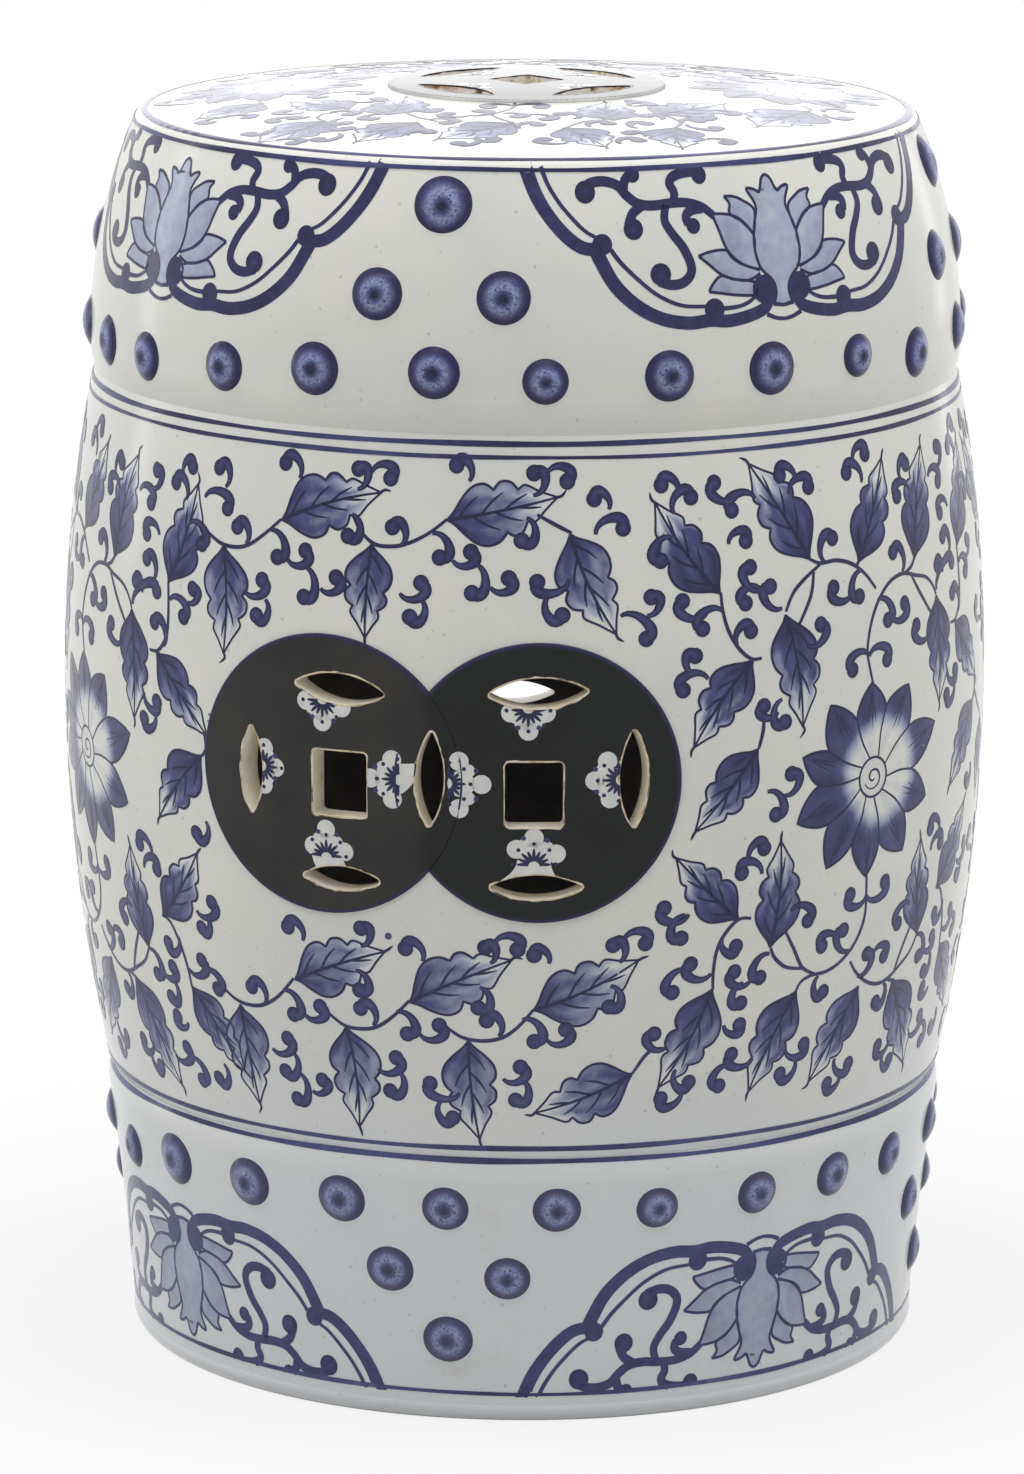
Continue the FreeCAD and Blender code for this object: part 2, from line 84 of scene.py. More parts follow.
# Lamps: degrees from the camera's bearing, height, distance, size, watts, height of the aim, and
# whether the glaze mirrors it
AIM = 0.24
EDGE_LAMP = (0.35, 1.7)
SOFT_LAMP = (1.2, 1.0)
LAMPS = {
    "left_edge": (-114, 0.9, 2.4, EDGE_LAMP, 2.6, AIM, True),
    "right_edge": (139, 0.9, 2.4, EDGE_LAMP, 2.0, AIM, True),
    "left": (-42, 2.2, 1.6, SOFT_LAMP, 13.5, AIM, False),
    "left_side": (-100, 2.2, 1.6, SOFT_LAMP, 20.0, AIM, False),
    "right": (66, 2.2, 1.6, SOFT_LAMP, 13.0, AIM, False),
    "right_side": (100, 2.2, 1.6, SOFT_LAMP, 16.0, AIM, False),
    "top": (0, 2.5, 0.1, (1.4, 1.0), 12.5, AIM, False),
    "front": (2, 2.3, 1.25, (1.9, 0.35), 3.0, 0.3, True),
    "back": (180, 1.1, 3.0, (3.4, 1.3), 12.0, AIM, True),
}
WORLD_LIGHT = 0.42

# The floor: how much of it is plain white close to the stool, where that starts and where it ends
FLOOR_HALF = 9.0
FLOOR_GREY = (0.6, 0.6, 0.6, 1.0)
FLOOR_WHITE_NEAR = 0.8
FLOOR_SHADE_FROM = 0.16
FLOOR_SHADE_TO = 0.40


# Camera, lamps and plain meshes

def link(thing):
    bpy.context.scene.collection.objects.link(thing)
    return thing


def add_camera():
    data = bpy.data.cameras.new("camera")
    data.sensor_width = SENSOR_WIDTH
    data.lens = CAMERA_LENS
    data.clip_end = 100.0
    camera = link(bpy.data.objects.new("camera", data))
    cp, sp = math.cos(CAMERA_PITCH), math.sin(CAMERA_PITCH)
    cy, sy = math.cos(CAMERA_YAW), math.sin(CAMERA_YAW)
    cr, sr = math.cos(CAMERA_ROLL), math.sin(CAMERA_ROLL)
    forward = Vector((sy * cp, cy * cp, -sp))
    right = Vector((cy, -sy, 0.0))
    up = right.cross(forward)
    level = cr * right + sr * up
    upright = -sr * right + cr * up
    turn = Matrix((level, upright, -forward)).transposed().to_4x4()
    place = Matrix.Translation((0.0, -CAMERA_DISTANCE, CAMERA_HEIGHT))
    camera.matrix_world = Matrix.Rotation(math.radians(CAMERA_BEARING), 4, "Z") @ place @ turn
    bpy.context.scene.camera = camera


def add_lamp(name, side, height, distance, size, watts, aim, mirrored):
    """A soft box. One that isn't mirrored lights the glaze without a highlight."""
    data = bpy.data.lights.new(name, "AREA")
    data.shape = "RECTANGLE"
    data.size, data.size_y = size
    data.energy = watts
    lamp = link(bpy.data.objects.new(name, data))
    angle = math.radians(CAMERA_BEARING + side)
    place = Vector((distance * math.sin(angle), -distance * math.cos(angle), height))
    turn = (Vector((0.0, 0.0, aim)) - place).to_track_quat("-Z", "Y").to_matrix().to_4x4()
    lamp.matrix_world = Matrix.Translation(place) @ turn
    lamp.visible_glossy = mirrored


def mesh_object(name, points, faces):
    mesh = bpy.data.meshes.new(name)
    mesh.from_pydata(points, [], faces)
    return link(bpy.data.objects.new(name, mesh))


def set_values(mesh, name, values):
    """A number on each point of a mesh, which a material can read."""
    mesh.attributes.new(name, "FLOAT", "POINT").data.foreach_set("value", values)


# Materials

def colour(seen):
    """The linear values that a shader takes, from red, green and blue as seen, 0 to 255."""
    out = []
    for value in seen:
        c = value / 255
        out.append(c / 12.92 if c <= 0.04045 else ((c + 0.055) / 1.055) ** 2.4)
    return (*out, 1.0)


class Nodes:
    """Short calls for the nodes of a material or of the world. A tuple is a colour as seen."""

    def __init__(self, tree):
        self.tree = tree

    def add(self, kind, sockets=(), **settings):
        made = self.tree.nodes.new(kind)
        for key, value in settings.items():
            setattr(made, key, value)
        for key, value in dict(sockets).items():
            self.put(made.inputs[key], value)
        return made

    def put(self, socket, value):
        if isinstance(value, bpy.types.NodeSocket):
            self.tree.links.new(value, socket)
        else:
            socket.default_value = colour(value) if isinstance(value, tuple) else value

    def math(self, operation, *values):
        return self.add("ShaderNodeMath", enumerate(values), operation=operation).outputs[0]

    def times(self, a, b):
        return self.math("MULTIPLY", a, b)

    def plus(self, base, extra, share):
        """The base and a share of something extra."""
        return self.math("MULTIPLY_ADD", extra, share, base)

    def range(self, value, low, high, to_low=0.0, to_high=1.0):
        """Goes softly from one level to the other while the value goes from low to high."""
        sockets = {"Value": value, "From Min": low, "From Max": high, "To Min": to_low, "To Max": to_high}
        return self.add("ShaderNodeMapRange", sockets, interpolation_type="SMOOTHSTEP").outputs["Result"]

    def seen(self):
        """1 on the rays that show the background: from the camera, through glass or off a gloss."""
        rays = self.add("ShaderNodeLightPath").outputs
        seen = self.math("MAXIMUM", rays["Is Camera Ray"], rays["Is Transmission Ray"])
        return self.math("MAXIMUM", seen, rays["Is Glossy Ray"])


class Shade(Nodes):
    """A material with one shader. Scales of patterns are in features to the metre."""

    def __init__(self, name, roughness, gloss):
        self.material = bpy.data.materials.new(name)
        self.material.use_nodes = True
        super().__init__(self.material.node_tree)
        self.shader = self.tree.nodes["Principled BSDF"]
        self.put(self.shader.inputs["Specular IOR Level"], gloss)
        self.put(self.shader.inputs["Roughness"], roughness)
        self.where = self.add("ShaderNodeTexCoord").outputs["Object"]

    def noise(self, scale, detail=3.0, roughness=0.55):
        return self.add("ShaderNodeTexNoise", {
            "Vector": self.where, "Scale": scale, "Detail": detail, "Roughness": roughness}).outputs["Fac"]

    def sway(self, *noise):
        """Noise that goes as far below zero as above it."""
        return self.math("SUBTRACT", self.noise(*noise), 0.5)

    def spots(self, scale):
        """Distance to the nearest of scattered points, as a share of their spacing."""
        return self.add("ShaderNodeTexVoronoi", {"Vector": self.where, "Scale": scale}).outputs["Distance"]

    def along(self, axis):
        return self.add("ShaderNodeSeparateXYZ", {0: self.where}).outputs[axis]

    def attribute(self, name):
        return self.add("ShaderNodeAttribute", attribute_name=name).outputs["Fac"]

    def ramp(self, value, stops):
        made = self.add("ShaderNodeValToRGB", {"Fac": value})
        elements = made.color_ramp.elements
        while len(elements) < len(stops):
            elements.new(0.5)
        for element, (at, tint) in zip(elements, stops):
            element.position = at
            element.color = colour(tint)
        return made.outputs["Color"]

    def mix(self, share, a, b):
        """Sockets 6, 7 and the second result are the node's colours."""
        return self.add("ShaderNodeMix", {0: share, 6: a, 7: b}, data_type="RGBA").outputs[2]

    def base(self, value):
        self.put(self.shader.inputs["Base Color"], value)

    def bump(self, height, strength, distance):
        made = self.add("ShaderNodeBump", {"Strength": strength, "Distance": distance, "Height": height})
        self.put(self.shader.inputs["Normal"], made.outputs["Normal"])


GLAZE_WHITE = (214, 214, 208)
GLAZE_COOL = (208, 209, 205)
GLAZE_WARM = (218, 216, 207)
PALE_BLUE = (160, 169, 187)
MIDDLE_BLUE = (70, 74, 120)
DEEP_BLUE = (39, 39, 82)
DARK_BLUE = (25, 25, 63)
# The walls of the belly's coin openings: pale cream clay, lightened further as painted light
PALE_LIT_EDGE = [
    (0.26, (206, 186, 154)), (0.34, (242, 230, 206)), (0.55, (250, 244, 230)), (0.8, (248, 246, 238))]
# The seat coin's walls: greyer and darker than the belly's, a painted shade
GREY_SHADED_EDGE = [(0.34, (70, 60, 56)), (0.40, (188, 158, 120)), (0.47, (232, 226, 216)), (0.8, (246, 244, 240))]
WORN_LIP = [(0.34, (104, 92, 78)), (0.44, (186, 170, 140)), (0.6, (214, 202, 176)), (0.8, (196, 192, 182))]
WORN_SEAT_LIP = [
    (0.40, (34, 33, 62)), (0.47, (52, 50, 84)), (0.50, (150, 112, 78)), (0.54, (226, 222, 216)),
    (0.58, (60, 58, 88)), (0.8, (30, 30, 44))]
BOSS_MARK = [
    (0.08, (5, 4, 14)), (0.16, (24, 23, 50)), (0.27, (74, 80, 124)), (0.42, (136, 147, 182)),
    (0.57, (126, 136, 174)), (0.70, (74, 76, 118)), (0.82, (36, 32, 70)), (0.97, (30, 26, 60))]


def glaze_surface(shade):
    """The uneven skin that all the glazed surfaces share. Gives its pits, 0 in a pit."""
    pits = shade.range(shade.spots(150.0), 0.05, 0.11)
    height = shade.plus(shade.noise(38.0, 1.0), pits, 0.05)
    shade.bump(shade.plus(height, shade.noise(420.0, 2.0), 0.10), 0.12, 1.0 * MM)
    return pits


def white_glaze():
    """Off-white, cooler and smudged near the foot, with a fine grain, pits and a few specks."""
    shade = Shade("white_glaze", 0.17, 0.42)
    pits = glaze_surface(shade)
    cloud = shade.noise(14.0, 4.0)
    ground = shade.ramp(cloud, [(0.30, GLAZE_COOL), (0.52, GLAZE_WHITE), (0.75, GLAZE_WARM)])
    low = shade.range(shade.plus(shade.along("Z"), cloud, 0.05), 0.08, 0.20, 1.0, 0.0)
    ground = shade.mix(low, ground, (208, 211, 213))
    smudge = shade.times(shade.range(shade.noise(22.0, 6.0, 0.65), 0.56, 0.74), low)
    ground = shade.mix(shade.times(smudge, 0.35), ground, (178, 174, 160))
    grain = shade.range(shade.noise(1500.0, 1.0), 0.35, 0.6)
    specks = shade.range(shade.spots(95.0), 0.035, 0.075)
    marks = ((grain, 0.05, (150, 152, 150)), (pits, 0.25, (150, 148, 140)), (specks, 0.35, (120, 112, 100)))
    for clean, share, tint in marks:
        ground = shade.mix(shade.times(shade.math("SUBTRACT", 1.0, clean), share), ground, tint)
    shade.base(ground)
    return shade.material


def paint():
    """Blue under the glaze. The tone on the mesh sets how strong, a little less so near the foot,
    and the brush leaves it cloudy."""
    shade = Shade("blue_paint", 0.17, 0.34)
    glaze_surface(shade)
    tone = shade.plus(shade.attribute("tone"), shade.sway(260.0, 3.0), 0.22)
    tone = shade.plus(tone, shade.sway(70.0, 2.0), 0.16)
    tone = shade.times(tone, shade.range(shade.along("Z"), 0.04, 0.34, 0.93, 1.08))
    shade.base(shade.ramp(tone, [
        (0.02, GLAZE_WHITE), (0.32, PALE_BLUE), (0.66, MIDDLE_BLUE), (0.88, DEEP_BLUE), (1.0, DARK_BLUE)]))
    return shade.material


def bare_clay():
    shade = Shade("bare_clay", 0.85, 0.2)
    shade.base(shade.ramp(shade.noise(60.0, 4.0), [(0.3, (176, 174, 176)), (0.7, (204, 200, 198))]))
    shade.bump(shade.noise(900.0, 3.0), 0.35, 0.3 * MM)
    return shade.material


def cut_edge(name, tints, dark_lip=False):
    """The wall of an opening: thin glaze that has run off the cut, over pale clay. The tints given are
    lightened by painted light in the belly's coins and darkened by painted shade in the seat's coin.
    The dark glaze of the face may reach a little way down it."""
    shade = Shade(name, 0.34, 0.4)
    ground = shade.ramp(shade.noise(120.0, 3.0), tints)
    if dark_lip:
        depth = shade.plus(shade.attribute("drop"), shade.noise(160.0, 2.0), 1.2 * MM)
        ground = shade.mix(shade.range(depth, 0.9 * MM, 1.2 * MM, 1.0, 0.0), ground, (36, 34, 58))
    shade.base(ground)
    shade.bump(shade.noise(500.0, 3.0), 0.3, 0.4 * MM)
    return shade.material


def worn_glaze(name, tints):
    """The lip of an opening, where the glaze was wiped off, has run or has worn."""
    shade = Shade(name, 0.3, 0.4)
    shade.base(shade.ramp(shade.noise(210.0, 4.0), tints))
    shade.bump(shade.noise(600.0, 3.0), 0.25, 0.3 * MM)
    return shade.material


def coin_glaze():
    """Dark glaze, greener on one coin and greyer on the other, where the lighter grey is partly the glaze
    and partly a painted sheen; a thin blue line at the edge. The side of the stool that a coin is on
    comes from x times y, which is also right at the back."""
    shade = Shade("coin_glaze", 0.24, 0.28)
    glaze_surface(shade)
    across = shade.times(shade.times(shade.along("X"), shade.along("Y")), -1.0)
    side = shade.range(shade.plus(across, shade.sway(40.0, 2.0), 0.0012), -0.0012, 0.0006)
    cloud = shade.noise(30.0, 5.0)
    # The lighter grey coin: partly the glaze's own colour, partly a painted sheen
    grey_and_sheen = shade.ramp(cloud, [(0.35, (33, 33, 32)), (0.7, (47, 45, 43))])
    green = shade.ramp(cloud, [(0.35, (6, 11, 9)), (0.7, (15, 20, 18))])
    edge = shade.plus(shade.attribute("out"), shade.sway(300.0, 2.0), 0.02)
    shade.base(shade.mix(shade.range(edge, 0.962, 0.988), shade.mix(side, grey_and_sheen, green), (33, 32, 66)))
    return shade.material


def seat_coin_glaze():
    """The coin in the seat is charcoal too, under a glossier glaze."""
    shade = Shade("seat_coin_glaze", 0.16, 0.4)
    glaze_surface(shade)
    shade.base(shade.ramp(shade.noise(45.0, 5.0), [(0.35, (42, 42, 44)), (0.7, (58, 58, 60))]))
    return shade.material


def boss_glaze():
    """A thick wet brush mark: dark at its rim and in the middle, watery and speckled between."""
    shade = Shade("boss_glaze", 0.2, 0.3)
    glaze_surface(shade)
    true_out = shade.attribute("out")
    fine = shade.sway(600.0, 3.0, 0.7)
    out = shade.plus(shade.plus(true_out, shade.sway(75.0, 2.0), 0.16), fine, 0.10)
    tints = shade.ramp(out, BOSS_MARK)
    dots = shade.range(shade.spots(620.0), 0.18, 0.36, 1.0, 0.0)
    dots = shade.times(shade.times(dots, shade.range(out, 0.45, 0.66, 1.0, 0.15)), 0.85)
    tints = shade.mix(dots, tints, (34, 36, 78))
    mottle = shade.range(shade.noise(1100.0, 3.0, 0.7), 0.40, 0.62)
    tints = shade.mix(shade.times(mottle, 0.55), tints, (42, 44, 88))
    tints = shade.mix(shade.range(shade.along("Z"), 0.10, 0.33, 0.08, 0.0), tints, PALE_BLUE)
    rim = shade.range(shade.plus(true_out, fine, 0.03), 0.985, 1.01)
    shade.base(shade.mix(rim, tints, GLAZE_WHITE))
    return shade.material


MATERIALS = {
    "glaze": white_glaze(),
    "paint": paint(),
    "clay": bare_clay(),
    "edge": cut_edge("cut_edge", PALE_LIT_EDGE),
    "seat_edge": cut_edge("seat_cut_edge_shaded", GREY_SHADED_EDGE, True),
    "boss": boss_glaze(),
    "worn": worn_glaze("worn_glaze", WORN_LIP),
    "seat_worn": worn_glaze("seat_worn_glaze", WORN_SEAT_LIP),
    "coin": coin_glaze(),
    "seat_coin": seat_coin_glaze(),
}


# Where the decoration lies

def tree_of(*names):
    points, faces = [], []
    for name in names:
        mesh = nodes[name].data
        start = len(points)
        points += [v.co.copy() for v in mesh.vertices]
        faces += [tuple(start + i for i in face.vertices) for face in mesh.polygons]
    return BVHTree.FromPolygons(points, faces)


def radial(bearing):
    angle = math.radians(bearing)
    return Vector((math.sin(angle), -math.cos(angle), 0.0))


def onto(tree, origin, towards, lift):
    """The point where a ray meets the surface, raised by the paint's lift."""
    hit, normal, _, _ = tree.ray_cast(origin, towards, 0.3)
    if hit is None:
        hit, normal, _, _ = tree.find_nearest(origin + towards * 0.08)
    if normal.dot(towards) > 0:
        normal = -normal
    return hit + normal * lift


def on_wall(tree, mm_per_degree):
    """Places a point of the drawing on an upright wall: x runs round it, y is its height."""
    def place(x, y, lift):
        out = radial(x / mm_per_degree)
        height = y * DRAWING_SCALE * MM
        return onto(tree, out * 0.25 + Vector((0.0, 0.0, height)), -out, lift)
    return place


def on_seat(tree):
    """Places a point of the drawing on the seat, from above."""
    def place(x, y, lift):
        above = Vector((x * DRAWING_SCALE * MM, y * DRAWING_SCALE * MM, 0.55))
        return onto(tree, above, Vector((0.0, 0.0, -1.0)), lift)
    return place


def in_box(spot):
    """The point, kept inside the stool's own box."""
    return [min(max(spot[n], cad_box[0][n]), cad_box[1][n]) for n in range(3)]


def face_outwards(mesh):
    for face in mesh.polygons:
        if face.normal.dot(Vector((face.center.x, face.center.y, 0.02))) < 0:
            face.flip()


# The brush work is laid out flat first: x and y in millimetres of the drawing

class Layer:
    """Thin shapes on the drawing. Each point has a tone, from 0, bare glaze, to 1, full blue."""

    def __init__(self, lift):
        self.lift = lift
        self.shapes = 0
        self.points = []
        self.tones = []
        self.lifts = []
        self.faces = []

    def take(self, points, tone_of_each):
        """Shapes that cross lie a hair apart, so that they don't fight."""
        self.points += points
        self.tones += tone_of_each
        self.lifts += [self.lift + SHAPE_STEP * (self.shapes % SHAPE_STEPS)] * len(points)

    def grid(self, rows, tones):
        """A patch from rows of points, each row as long as the next."""
        self.shapes += 1
        start = len(self.points)
        across = len(rows[0])
        for row, tone_row in zip(rows, tones):
            self.take(row, tone_row)
        for i in range(len(rows) - 1):
            for j in range(across - 1):
                a = start + i * across + j
                self.faces.append((a, a + 1, a + across + 1, a + across))

    def fan(self, middle, ring, middle_tone, ring_tone):
        self.shapes += 1
        start = len(self.points)
        self.take([middle] + ring, [middle_tone] + [ring_tone] * len(ring))
        for i in range(len(ring)):
            self.faces.append((start, start + 1 + i, start + 1 + (i + 1) % len(ring)))


def stay(x, y):
    return x, y


def lay(name, layer, place, move=stay):
    """Lays a layer on the stool as one piece, with its drawing as its map."""
    points = []
    for (x, y), lift in zip(layer.points, layer.lifts):
        points.append(in_box(place(*move(x, y), lift)))
    piece = mesh_object(name, points, layer.faces)
    mesh = piece.data
    mesh.materials.append(MATERIALS["paint"])
    set_values(mesh, "tone", layer.tones)
    xs, ys = zip(*layer.points)
    low = (min(xs), min(ys))
    size = max(max(xs) - low[0], max(ys) - low[1])
    layout = mesh.uv_layers.new(name="OFBake")
    for loop in mesh.loops:
        x, y = layer.points[loop.vertex_index]
        layout.data[loop.index].uv = ((x - low[0]) / size, (y - low[1]) / size)
    for face in mesh.polygons:
        face.use_smooth = True
    face_outwards(mesh)
    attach(piece, "root")


def clamp(value):
    return min(1.0, max(0.0, value))


def mix(a, b, t):
    return a + (b - a) * t


def between(a, b, t):
    return (mix(a[0], b[0], t), mix(a[1], b[1], t))


def polar(centre, angle, radius):
    a = math.radians(angle)
    return (centre[0] + radius * math.cos(a), centre[1] + radius * math.sin(a))


def smooth(points, steps=6):
    """A smooth line through all the points."""
    if len(points) < 3:
        return [between(points[0], points[-1], i / steps) for i in range(steps + 1)]
    out = []
    ends = [points[0]] + list(points) + [points[-1]]
    for p0, p1, p2, p3 in zip(ends, ends[1:], ends[2:], ends[3:]):
        for k in range(steps):
            t = k / steps
            out.append(tuple(
                0.5 * (2 * p1[n] + (p2[n] - p0[n]) * t
                       + (2 * p0[n] - 5 * p1[n] + 4 * p2[n] - p3[n]) * t * t
                       + (3 * p1[n] - p0[n] - 3 * p2[n] + p3[n]) * t ** 3)
                for n in (0, 1)))
    return out + [points[-1]]


def normals(line):
    out = []
    for i in range(len(line)):
        a, b = line[max(i - 1, 0)], line[min(i + 1, len(line) - 1)]
        dx, dy = b[0] - a[0], b[1] - a[1]
        size = math.hypot(dx, dy) or 1.0
        out.append((-dy / size, dx / size))
    return out


def stroke(layer, line, width, tone=0.95, taper=(1.0, 1.0)):
    """A brush line of a width, which may thin towards its two ends."""
    rows, tones = [], []
    last = len(line) - 1
    for i, (p, n) in enumerate(zip(line, normals(line))):
        t = i / last
        thin = mix(taper[0], 1.0, clamp(t / 0.4)) * mix(taper[1], 1.0, clamp((1 - t) / 0.4))
        w = width / 2 * thin
        rows.append([(p[0] + n[0] * w * k, p[1] + n[1] * w * k) for k in (1, -1)])
        tones.append([tone, tone])
    layer.grid(rows, tones)


def disc(layer, middle, radius, middle_tone, rim_tone, sides=14):
    ring = [polar(middle, 360 * i / sides, radius) for i in range(sides)]
    layer.fan(middle, ring, middle_tone, rim_tone)


# Leaves, tendrils and flowers

# A leaf's two sides as runs between its notches: share of the length from base to tip, and how
# far out, as a share of the length
LEFT_LOBES = [
    [(0, 0), (0.06, 0.05), (0.13, 0.14), (0.22, 0.23), (0.32, 0.265), (0.42, 0.245), (0.49, 0.185)],
    [(0.49, 0.185), (0.55, 0.225), (0.62, 0.21), (0.68, 0.13)],
    [(0.68, 0.13), (0.75, 0.145), (0.85, 0.075), (0.97, 0)],
]
RIGHT_LOBES = [
    [(0, 0), (0.07, 0.06), (0.15, 0.15), (0.24, 0.225), (0.32, 0.25), (0.39, 0.235), (0.44, 0.18)],
    [(0.44, 0.18), (0.51, 0.235), (0.60, 0.215), (0.65, 0.14)],
    [(0.65, 0.14), (0.72, 0.165), (0.83, 0.085), (0.97, 0)],
]
# Side veins: where each leaves the midrib, and where it ends as share of length and way out
VEINS = [
    (0.10, 0.30, 0.62), (0.22, 0.44, -0.66), (0.30, 0.52, 0.62),
    (0.42, 0.64, -0.62), (0.50, 0.72, 0.55), (0.62, 0.82, -0.45),
]
LEAF_ROWS = 24
LEAF_HALF = 4
LEAF_END = 0.97


def leaf_side(lobes):
    line = []
    for lobe in lobes:
        line += smooth(lobe, 4)[:-1]
    return line + [lobes[-1][-1]]


def reach_at(line, t):
    """How far a leaf's side stands out at a share of its length."""
    for a, b in zip(line, line[1:]):
        if a[0] <= t <= b[0] and b[0] > a[0]:
            return mix(a[1], b[1], (t - a[0]) / (b[0] - a[0]))
    return 0.0


def leaf(wash, ink, base, tip, number, wide, deep):
    """A lobed leaf with a pale turned tip. Its number varies the bend and the wash, and turns
    every other leaf over."""
    left, right = leaf_side(LEFT_LOBES), leaf_side(RIGHT_LOBES)
    if number % 2 == 1:
        left, right = right, left
    dx, dy = tip[0] - base[0], tip[1] - base[1]
    bend = 0.05 * math.sin(number * 2.4 + 1.0)
    lean = math.sin(number * 1.7)

    def at(t, out):
        s = out * wide + bend * math.sin(math.pi * t) + 0.03 * bend * math.sin(9 * t)
        return (base[0] + dx * t - dy * s, base[1] + dy * t + dx * s)

    def tone(t, j):
        """Dark near the base, lighter on one side, and fading out to the tip."""
        side = lean * j / LEAF_HALF
        fade = 0.72 + 0.09 * math.sin(j * 1.9 + number) + 0.07 * side
        pale = clamp((t - fade + 0.16) / 0.26)
        dark = 0.58 + deep + 0.24 * clamp(1 - t / 0.35) + 0.08 * math.sin(j * 2.3 + t * 7 + number)
        dark -= 0.18 * clamp(side) * (1 - clamp(1 - t / 0.3))
        return dark * (1 - pale) + 0.06 * pale

    rows, tones = [], []
    places = range(-LEAF_HALF, LEAF_HALF + 1)
    for i in range(LEAF_ROWS + 1):
        t = LEAF_END * i / LEAF_ROWS
        rows.append([at(t, reach_at(left if j > 0 else right, t) * j / LEAF_HALF) for j in places])
        tones.append([tone(t, j) for j in places])
    wash.grid(rows, tones)
    for side, sign in ((left, 1), (right, -1)):
        stroke(ink, [at(t, out * sign) for t, out in side], LINE, taper=(0.8, 0.8))
    midrib = [at(0.03 + 0.94 * i / 12, 0.0) for i in range(13)]
    stroke(ink, midrib, LINE * 1.1, taper=(1.3, 0.7))
    flick = [at(0.96, 0.0), at(1.01, 0.3 * bend + 0.006), at(1.06, 0.04 * lean)]
    stroke(ink, smooth(flick, 3), LINE * 1.1, taper=(1.0, 0.25))
    for start, end, out in VEINS:
        stop = reach_at(left if out > 0 else right, end) * out
        line = smooth([at(start, 0.0), at((start + end) / 2, stop * 0.62), at(end, stop)], 4)
        stroke(ink, line, LINE * 0.95, taper=(1.0, 0.35))


# Half the width of a curl at its root and along its body, and the radius of its head
CURL_ROOT = 0.65
CURL_BODY = 2.0
CURL_HEAD = 2.85


def curl(ink, fill, root, head, side, size):
    """A comma-shaped tendril that bows out to one side and hooks over onto a round head."""
    dx, dy = head[0] - root[0], head[1] - root[1]
    span = math.hypot(dx, dy)
    ux, uy = dx / span, dy / span
    nx, ny = -uy * side, ux * side
    rise = min(0.80 * span, 6.2 * size)
    over = min(0.62 * span, 3.9 * size)
    p1 = (root[0] + 0.10 * dx + nx * rise, root[1] + 0.10 * dy + ny * rise)
    p2 = (head[0] + ux * over + nx * rise * 0.85, head[1] + uy * over + ny * rise * 0.85)
    line = []
    for i in range(15):
        t = i / 14
        a, b, c, d = (1 - t) ** 3, 3 * t * (1 - t) ** 2, 3 * t * t * (1 - t), t ** 3
        line.append(tuple(a * root[n] + b * p1[n] + c * p2[n] + d * head[n] for n in (0, 1)))

    def body(layer, inset, tone_in, tone_out):
        rows, tones = [], []
        for i, (p, n) in enumerate(zip(line, normals(line))):
            half = max(mix(CURL_ROOT, CURL_BODY * size, clamp(i / 9)) - inset, 0.12)
            rows.append([(p[0] + n[0] * half * k, p[1] + n[1] * half * k) for k in (-1, 0, 1)])
            tones.append([tone_out, tone_in, tone_out])
        layer.grid(rows, tones)
        disc(layer, head, CURL_HEAD * size - inset, tone_in, tone_out)

    body(ink, 0.0, 0.95, 0.95)
    body(fill, CURL_OUTLINE, 0.70, 0.86)


# Each leaf: bearing and height of its base, then of its tip
PANEL_LEAVES = [
    (35.4, 294.5, 27.2, 327.6), (48.4, 302.6, 40, 338), (56.4, 298.9, 62.8, 333.5),
    (44.3, 285, 46.6, 244.5), (39.6, 270.8, 31.6, 241.6), (40.2, 240, 31.8, 212.5),
    (38.2, 180.4, 29.5, 205.3), (43, 168.8, 43.7, 207.9), (35.2, 156.3, 28.5, 120.9),
    (47.6, 151.3, 41.6, 115.4), (58.6, 147.8, 51.3, 115),
    (67.7, 295.5, 72.4, 334.5), (80.3, 294, 85.3, 331), (72.6, 280.5, 72.7, 241.5),
    (78, 268.8, 87, 243.5), (85.5, 237, 76.6, 209.5), (70.8, 160, 69.4, 197),
    (75.2, 174.5, 83.5, 202.5), (65.8, 146.5, 73, 110), (79, 151.5, 86.5, 124),
]
COIN_PANEL_LEAVES = [
    (-19.9, 317, -6.2, 329.2), (1.8, 321, 15.7, 329.3), (-7.5, 311.7, -8, 279),
    (-28.5, 305.8, -27.6, 267.9), (16.8, 316.8, 22.5, 281.8),
    (-18, 157.5, -5.3, 171.5), (-2.8, 153.5, 10.3, 170.5), (12.6, 152, 25.8, 169.8),
    (-11.3, 142.5, -10.5, 104.5), (4.5, 140.5, 5.8, 103), (-26.8, 144.8, -25.4, 107.5),
    (25.2, 127.5, 12.4, 114),
]
